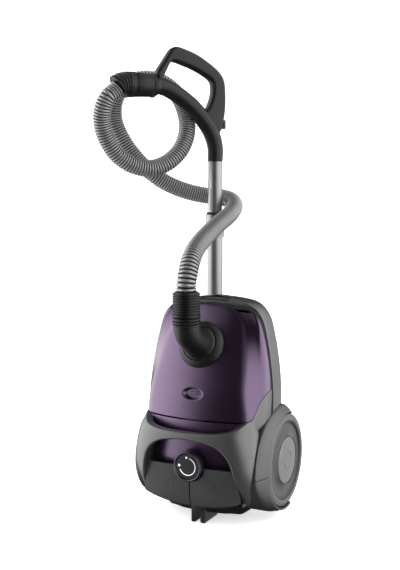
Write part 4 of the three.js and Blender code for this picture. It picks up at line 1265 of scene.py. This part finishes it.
def rounded_frame(name, outer, hole, half, radius, steps=7):
    """A plate with a hole, lying across (x, z), whose edges are all rounded."""
    work = bmesh.new()
    turn = np.linspace(0, math.pi / 2, steps)
    profile = [(radius * (1 - math.cos(a)), half - radius + radius * math.sin(a)) for a in turn]
    profile = [(d, -y) for d, y in reversed(profile)] + profile
    ends = [], []
    for loop, sign in ((outer, -1), (hole, 1)):
        ahead = np.roll(loop, -1, 0) - np.roll(loop, 1, 0)
        out = np.stack([ahead[:, 1], -ahead[:, 0]], -1) / np.linalg.norm(ahead, axis=1)[:, None]
        rings = []
        for d, y in profile:
            rings.append([work.verts.new((p[0] * MM, y * MM, p[1] * MM)) for p in loop + out * d * sign])
        count = len(loop)
        for near, far in zip(rings, rings[1:]):
            for i in range(count):
                k = (i + 1) % count
                work.faces.new((near[i], near[k], far[k], far[i]))
        for end, ring in zip(ends, (rings[0], rings[-1])):
            end.append(ring)
    for end in ends:
        flat = [[Vector((v.co.x, v.co.z, 0)) for v in ring] for ring in end]
        corners = end[0] + end[1]
        for triangle in tessellate_polygon(flat):
            work.faces.new([corners[i] for i in triangle])
    bmesh.ops.recalc_face_normals(work, faces=work.faces)
    mesh = bpy.data.meshes.new(name)
    work.to_mesh(mesh)
    work.free()
    return linked(name, mesh)


def make_handle():
    line = smooth_curve(HANDLE_PATH, 12)
    line = at_distances(line, np.linspace(0, distances(line)[-1], 90))
    along = distances(line)
    end = along[-1]
    radii = np.interp(along, [0, 1.2, 8, 30, 60, end - 26, end - 6, end - 5, end - 1, end],
                      [16.6, 17.3, 17.5, 17.8, 18.4, 18.4, 19.6, 22.4, 22.6, 22.0])
    verts, faces = tube_mesh(line, radii, 64)
    place(on_handle(mesh_object("handle_sweep", verts, faces, 40)), "handle_tube")
    grip = rounded_frame("grip_loop", closed_outline(GRIP_OUTLINE), closed_outline(GRIP_OPENING), 13.5, 8.0)
    place(on_handle(grip), "handle_grip", angle=50)
    ring = [(16, 151.5), (25.6, 151.5), (26.4, 152.4), (26.5, 156.2), (25.8, 157.2), (24.8, 157.8), (25, 160),
            (25.4, 176), (26.4, 197.6), (25.8, 198.7), (16, 198.8)]
    place(move(on_handle(lathe("connector_ring", ring, 96, "x", 35)), 0, 0, CONNECTOR_Z), "handle_connector")
    slider = soften("suction_slider", 1.4, 3)
    slider.name = "slider_tab"


def make_upper_cuff():
    start = 199.3
    path = [[start, 0, CONNECTOR_Z], [start + 8, 0, CONNECTOR_Z], [start + 20, 0, 931],
            [start + 34, 0, 926], [start + 47.2, 0, 912.9]]
    line = smooth_curve(path, 20)
    end = 37.5
    along = np.linspace(0, end, 160)
    turn = ((along - 14) / 6.2) % 1.0
    finned = 25.2 + 2.6 * np.clip(np.sin(np.pi * turn) * 1.6 - 0.3, 0, 1)
    radii = np.where(along < 14, np.interp(along, [0, 0.8, 13, 14], [26.4, 27.4, 27.6, 26.6]), finned)
    radii[-3:] = (25.2, 24.6, 23.6)
    verts, faces = tube_mesh(at_distances(line, along), radii, 60)
    return place(on_handle(mesh_object("cuff_upper_fins", verts, faces, 50)), "hose_cuff_upper")


make_handle()
declare_hose(make_upper_cuff())


# ---------------------------------------------------------------- underside, caster and small fittings
def make_caster():
    soften("caster_fork", 1.0, 3)
    roller = [(2.8, -9), (15, -9), (17.4, -8.2), (18.7, -6.6), (19, -4.6), (18.8, -1), (18.8, 1), (19, 4.6),
              (18.7, 6.6), (17.4, 8.2), (15, 9), (2.8, 9)]
    place(move(lathe("caster_roller_tyre", roller, 64, "x", 35), 0, 159, 406), "caster_wheel")
    pin = [(0, -14), (2, -14), (2.5, -13.4), (2.5, 13.4), (2, 14), (0, 14)]
    place(move(lathe("caster_axle_pin", pin, 32, "x", 35), 0, 159, 406), "caster_pin")


def make_fittings():
    soften("exhaust_grille", 0.5, 2)
    soften("lid_latch", 1.4, 3)
    for i in range(3):
        rib = wire("latch_rib_%d" % i, [(x, 34.5 + i * 4, 469.6) for x in (-22, -20, 20, 22)], 0.9, 10)
        extra(rib, "dark_moulding", "latch")
    outlet = [(4.5, 14), (7.6, 14), (8.6, 14.8)] + fins(15.6, 30, 3.4, 7.6, 8.8)
    outlet += [(9, 30), (9, 33.4), (8.6, 34), (4.5, 34)]
    place(move(lathe("lead_outlet", outlet, 40, "z", 35), *LEAD_OUTLET), "cord_outlet")
    soften("indicator_lens", 0.8, 3)
    soften("indicator_flag", 0.3, 2)
    for side in (1, -1):
        name = "axle_right" if side > 0 else "axle_left"
        axle = [(0, 94), (8, 94), (9, 94.8), (9, 100.5), (5, 100.5), (5, 145), (4.2, 146), (0, 146)]
        made = at_wheel(lathe(name + "_turned", axle, 48, "x", 35))
        place(made if side > 0 else mirrored(made, name + "_turned_left"), name)
    pin = [(0, -20), (0.7, -20), (1, -19.6), (1, 19.6), (0.7, 20), (0, 20)]
    place(move(lathe("hinge_pin_turned", pin, 24, "x", 35), 0, -76, 230.2), "lid_hinge_pin")


make_caster()
make_fittings()


# ---------------------------------------------------------------- inside
def make_bag():
    """A filled fleece bag: pillow sides, pulled-in corners, a welded seam round the edge and soft creases."""
    rows, columns = 60, 96
    t = np.linspace(-1, 1, rows)[:, None]
    turn = np.linspace(0, 2 * math.pi, columns, endpoint=False)[None, :]
    close = np.clip(1 - np.abs(t) ** 3.4, 0, 1) ** 0.62
    wide = 80 * (0.86 + 0.14 * np.cos(t * 1.9)) * np.maximum(close, 0.16)
    deep = 41 * np.maximum(close, 0.03) * (1 - 0.12 * t)
    flat = np.sign(np.cos(turn)) * np.abs(np.cos(turn)) ** 0.8
    bulge = np.sign(np.sin(turn)) * np.abs(np.sin(turn)) ** 0.9
    folds = 1.6 * np.sin(7 * turn + 4 * t) * np.abs(t) + 1.1 * np.sin(11 * t + 3 * np.cos(turn))
    x = wide * flat + folds * np.cos(turn)
    y = 50 + 8 * t + (deep + folds * 0.8) * bulge
    z = 328 + 75 * t + 2.0 * np.sin(3 * turn) * (1 - np.abs(t)) + 0 * turn
    verts = np.stack([x, y, z], -1).reshape(-1, 3)
    faces = grid_faces(rows, columns, wrap_columns=True) + end_caps(rows, columns)
    bag = weld(mesh_object("bag_fleece_body", verts, faces, 60))
    place(bag, "dust_bag")


def make_filter():
    half, front, back, middle, side = 55.5, -19.5, 95.5, 220.5, 40
    gx, gy = np.meshgrid(np.linspace(-half, half, side), np.linspace(front, back, side))
    edge = np.minimum(np.minimum(gx + half, half - gx), np.minimum(gy - front, back - gy))
    rise = 2.4 + 1.0 * np.clip(edge / 6, 0, 1) ** 0.5
    top = np.stack([gx, gy, middle + rise], -1)
    low = np.stack([gx, gy, middle - rise], -1)
    count = gx.size
    faces = grid_faces(side, side)
    faces += [tuple(count + i for i in reversed(f)) for f in faces]
    rim = list(range(side)) + [side * i + side - 1 for i in range(1, side)]
    rim += list(range(count - 2, count - side - 1, -1)) + [side * i for i in range(side - 2, 0, -1)]
    faces += [(a, count + a, count + b, b) for a, b in zip(rim, rim[1:] + rim[:1])]
    pad = weld(mesh_object("filter_pad", np.concatenate([top, low]).reshape(-1, 3), faces, 50))
    place(pad, "pre_motor_filter")


def make_motor():
    motor_y, reel_y = 35, 28
    shell = [(50, 104), (57, 104), (58, 105), (58, 116), (56.6, 117), (56.6, 122), (58, 123), (58, 196), (57, 204),
             (52, 210), (48, 211), (34, 211), (34, 207), (53, 206), (54, 200), (54, 108), (50, 108)]
    place(move(lathe("motor_can", shell, 80, "z", 35), 0, motor_y, 0), "motor_housing")
    core = [(0, 112), (23, 112), (24, 113), (25, 122), (33, 126), (34, 130), (34, 163), (32, 165), (6, 166), (5, 168),
            (5, 180), (47.5, 180), (48, 181), (47.5, 182), (14, 183), (10, 199), (0, 200)]
    place(move(lathe("motor_core", core, 64, "z", 35), 0, motor_y, 0), "fan_rotor")
    for i in range(9):
        turn = i * 2 * math.pi / 9
        points = []
        for s in np.linspace(0, 1, 12):
            radius, lean = 13 + 33 * s, turn + 0.9 * s
            points.append((radius * math.cos(lean), motor_y + radius * math.sin(lean)))
        high = np.linspace(198, 186, 12)
        verts = [(x, y, z) for (x, y), top in zip(points, high) for z in (182, top)]
        blade = mesh_object("fan_blade_%d" % i, verts, [(2 * k, 2 * k + 2, 2 * k + 3, 2 * k + 1) for k in range(11)])
        extra(thicken(blade, 0.9), "bare_steel", "rotor")
    drum = [(6, 52), (65, 52), (66, 52.6), (66, 54.4), (65, 55), (36, 55), (34, 57), (34, 89), (36, 91), (65, 91),
            (66, 91.6), (66, 93.4), (65, 94), (6, 94)]
    place(move(lathe("reel_drum", drum, 80, "z", 35), 0, reel_y, 0), "cord_reel")
    axle = [(0, 48), (13.4, 48), (14, 48.6), (14, 51), (5.5, 51), (5.5, 97.4), (5, 98), (0, 98)]
    place(move(lathe("reel_axle_turned", axle, 40, "z", 35), 0, reel_y, 0), "reel_axle")


make_bag()
make_filter()
make_motor()
soften("bulkhead", 0.8, 2)
soften("bag_holder", 1.2, 3)
soften("speed_potentiometer", 1.0, 2)
soften("power_switch", 1.0, 2)


# ---------------------------------------------------------------- studio
def make_bowl():
    """A round pale floor that curves up into a wall far away."""
    profile = [(0, 0), (3.2, 0), (4.6, 0.02), (5.6, 0.3), (6.4, 1.1), (6.9, 2.4), (7.1, 4.5), (7.1, 8.0)]
    sides = 96
    verts = [(0, 0, 0)]
    for radius, high in profile[1:]:
        verts += [(radius * math.cos(a), radius * math.sin(a), high)
                  for a in np.linspace(0, 2 * math.pi, sides, endpoint=False)]
    faces = [(0, 1 + j, 1 + (j + 1) % sides) for j in range(sides)]
    for i in range(len(profile) - 2):
        low = 1 + i * sides
        faces += [(low + j, low + sides + j, low + sides + (j + 1) % sides, low + (j + 1) % sides)
                  for j in range(sides)]
    bowl = mesh_object("floor", np.array(verts) / MM, faces, 60)
    material, tree, shader = new_material("pale_floor")
    where = node(tree, "ShaderNodeTexCoord").outputs["Object"]
    tint = ramp(tree, noise(tree, where, 1.2, 2.0), [(0.3, (0.86, 0.86, 0.86)), (0.7, (0.88, 0.88, 0.88))])
    tree.links.new(tint, shader.inputs["Base Color"])
    shader.inputs["Roughness"].default_value = 0.9
    shader.inputs["Specular IOR Level"].default_value = 0.1
    shader.inputs["Emission Color"].default_value = (1, 1, 1, 1)
    shader.inputs["Emission Strength"].default_value = 0.55
    bowl.data.materials.append(material)
    bowl.visible_glossy = False


def softbox(name, centre, aim, size, power):
    data = bpy.data.lights.new(name, "AREA")
    data.shape, data.size, data.size_y, data.energy = "RECTANGLE", size[0], size[1], power
    light = linked(name, data)
    light.location = centre
    light.rotation_mode = "QUATERNION"
    light.rotation_quaternion = (Vector(centre) - Vector(aim)).to_track_quat("Z", "Y")
    light.visible_glossy = False
    return light


# Soft glows round the object: direction, where each starts and is full, strength.
GLOWS = [
    ((-0.97, -0.22, 0.10), 0.44, 0.98, 2.2),
    ((0.93, 0.10, 0.20), 0.48, 0.92, 1.6),
    ((0.45, 0.88, -0.05), 0.72, 0.99, 0.8),
    ((0.30, 0.55, 0.78), 0.75, 0.98, 0.7),
]
WORLD_BASE = 0.022


def make_world():
    world = bpy.data.worlds.new("studio")
    bpy.context.scene.world = world
    world.use_nodes = True
    tree = world.node_tree
    where = node(tree, "ShaderNodeTexCoord").outputs["Generated"]
    light = None
    for aim, low, high, strength in GLOWS:
        dot = node(tree, "ShaderNodeVectorMath", operation="DOT_PRODUCT")
        tree.links.new(where, dot.inputs[0])
        dot.inputs[1].default_value = Vector(aim).normalized()
        lobe = node(tree, "ShaderNodeMapRange", interpolation_type="SMOOTHSTEP")
        for key, value in (("From Min", low), ("From Max", high), ("To Min", 0.0), ("To Max", strength)):
            lobe.inputs[key].default_value = value
        tree.links.new(dot.outputs["Value"], lobe.inputs["Value"])
        total = node(tree, "ShaderNodeMath", operation="ADD")
        total.inputs[0].default_value = WORLD_BASE
        if light:
            tree.links.new(light, total.inputs[0])
        tree.links.new(lobe.outputs["Result"], total.inputs[1])
        light = total.outputs["Value"]
    tree.links.new(light, tree.nodes["Background"].inputs["Color"])


make_bowl()
make_world()
softbox("key_left", (-2.0, -0.7, 0.9), (0, 0, 0.45), (1.3, 1.9), 34)
softbox("rim_right", (1.7, 0.9, 0.8), (0.1, 0, 0.4), (1.0, 1.8), 22)
softbox("top", (-0.2, -0.2, 2.6), (0, 0, 0.4), (1.8, 1.6), 26)
softbox("front_fill", (1.6, -2.4, 1.4), (0, 0, 0.45), (0.9, 1.0), 7)
bpy.context.scene.view_settings.view_transform = "Standard"
bpy.context.scene.view_settings.look = "None"
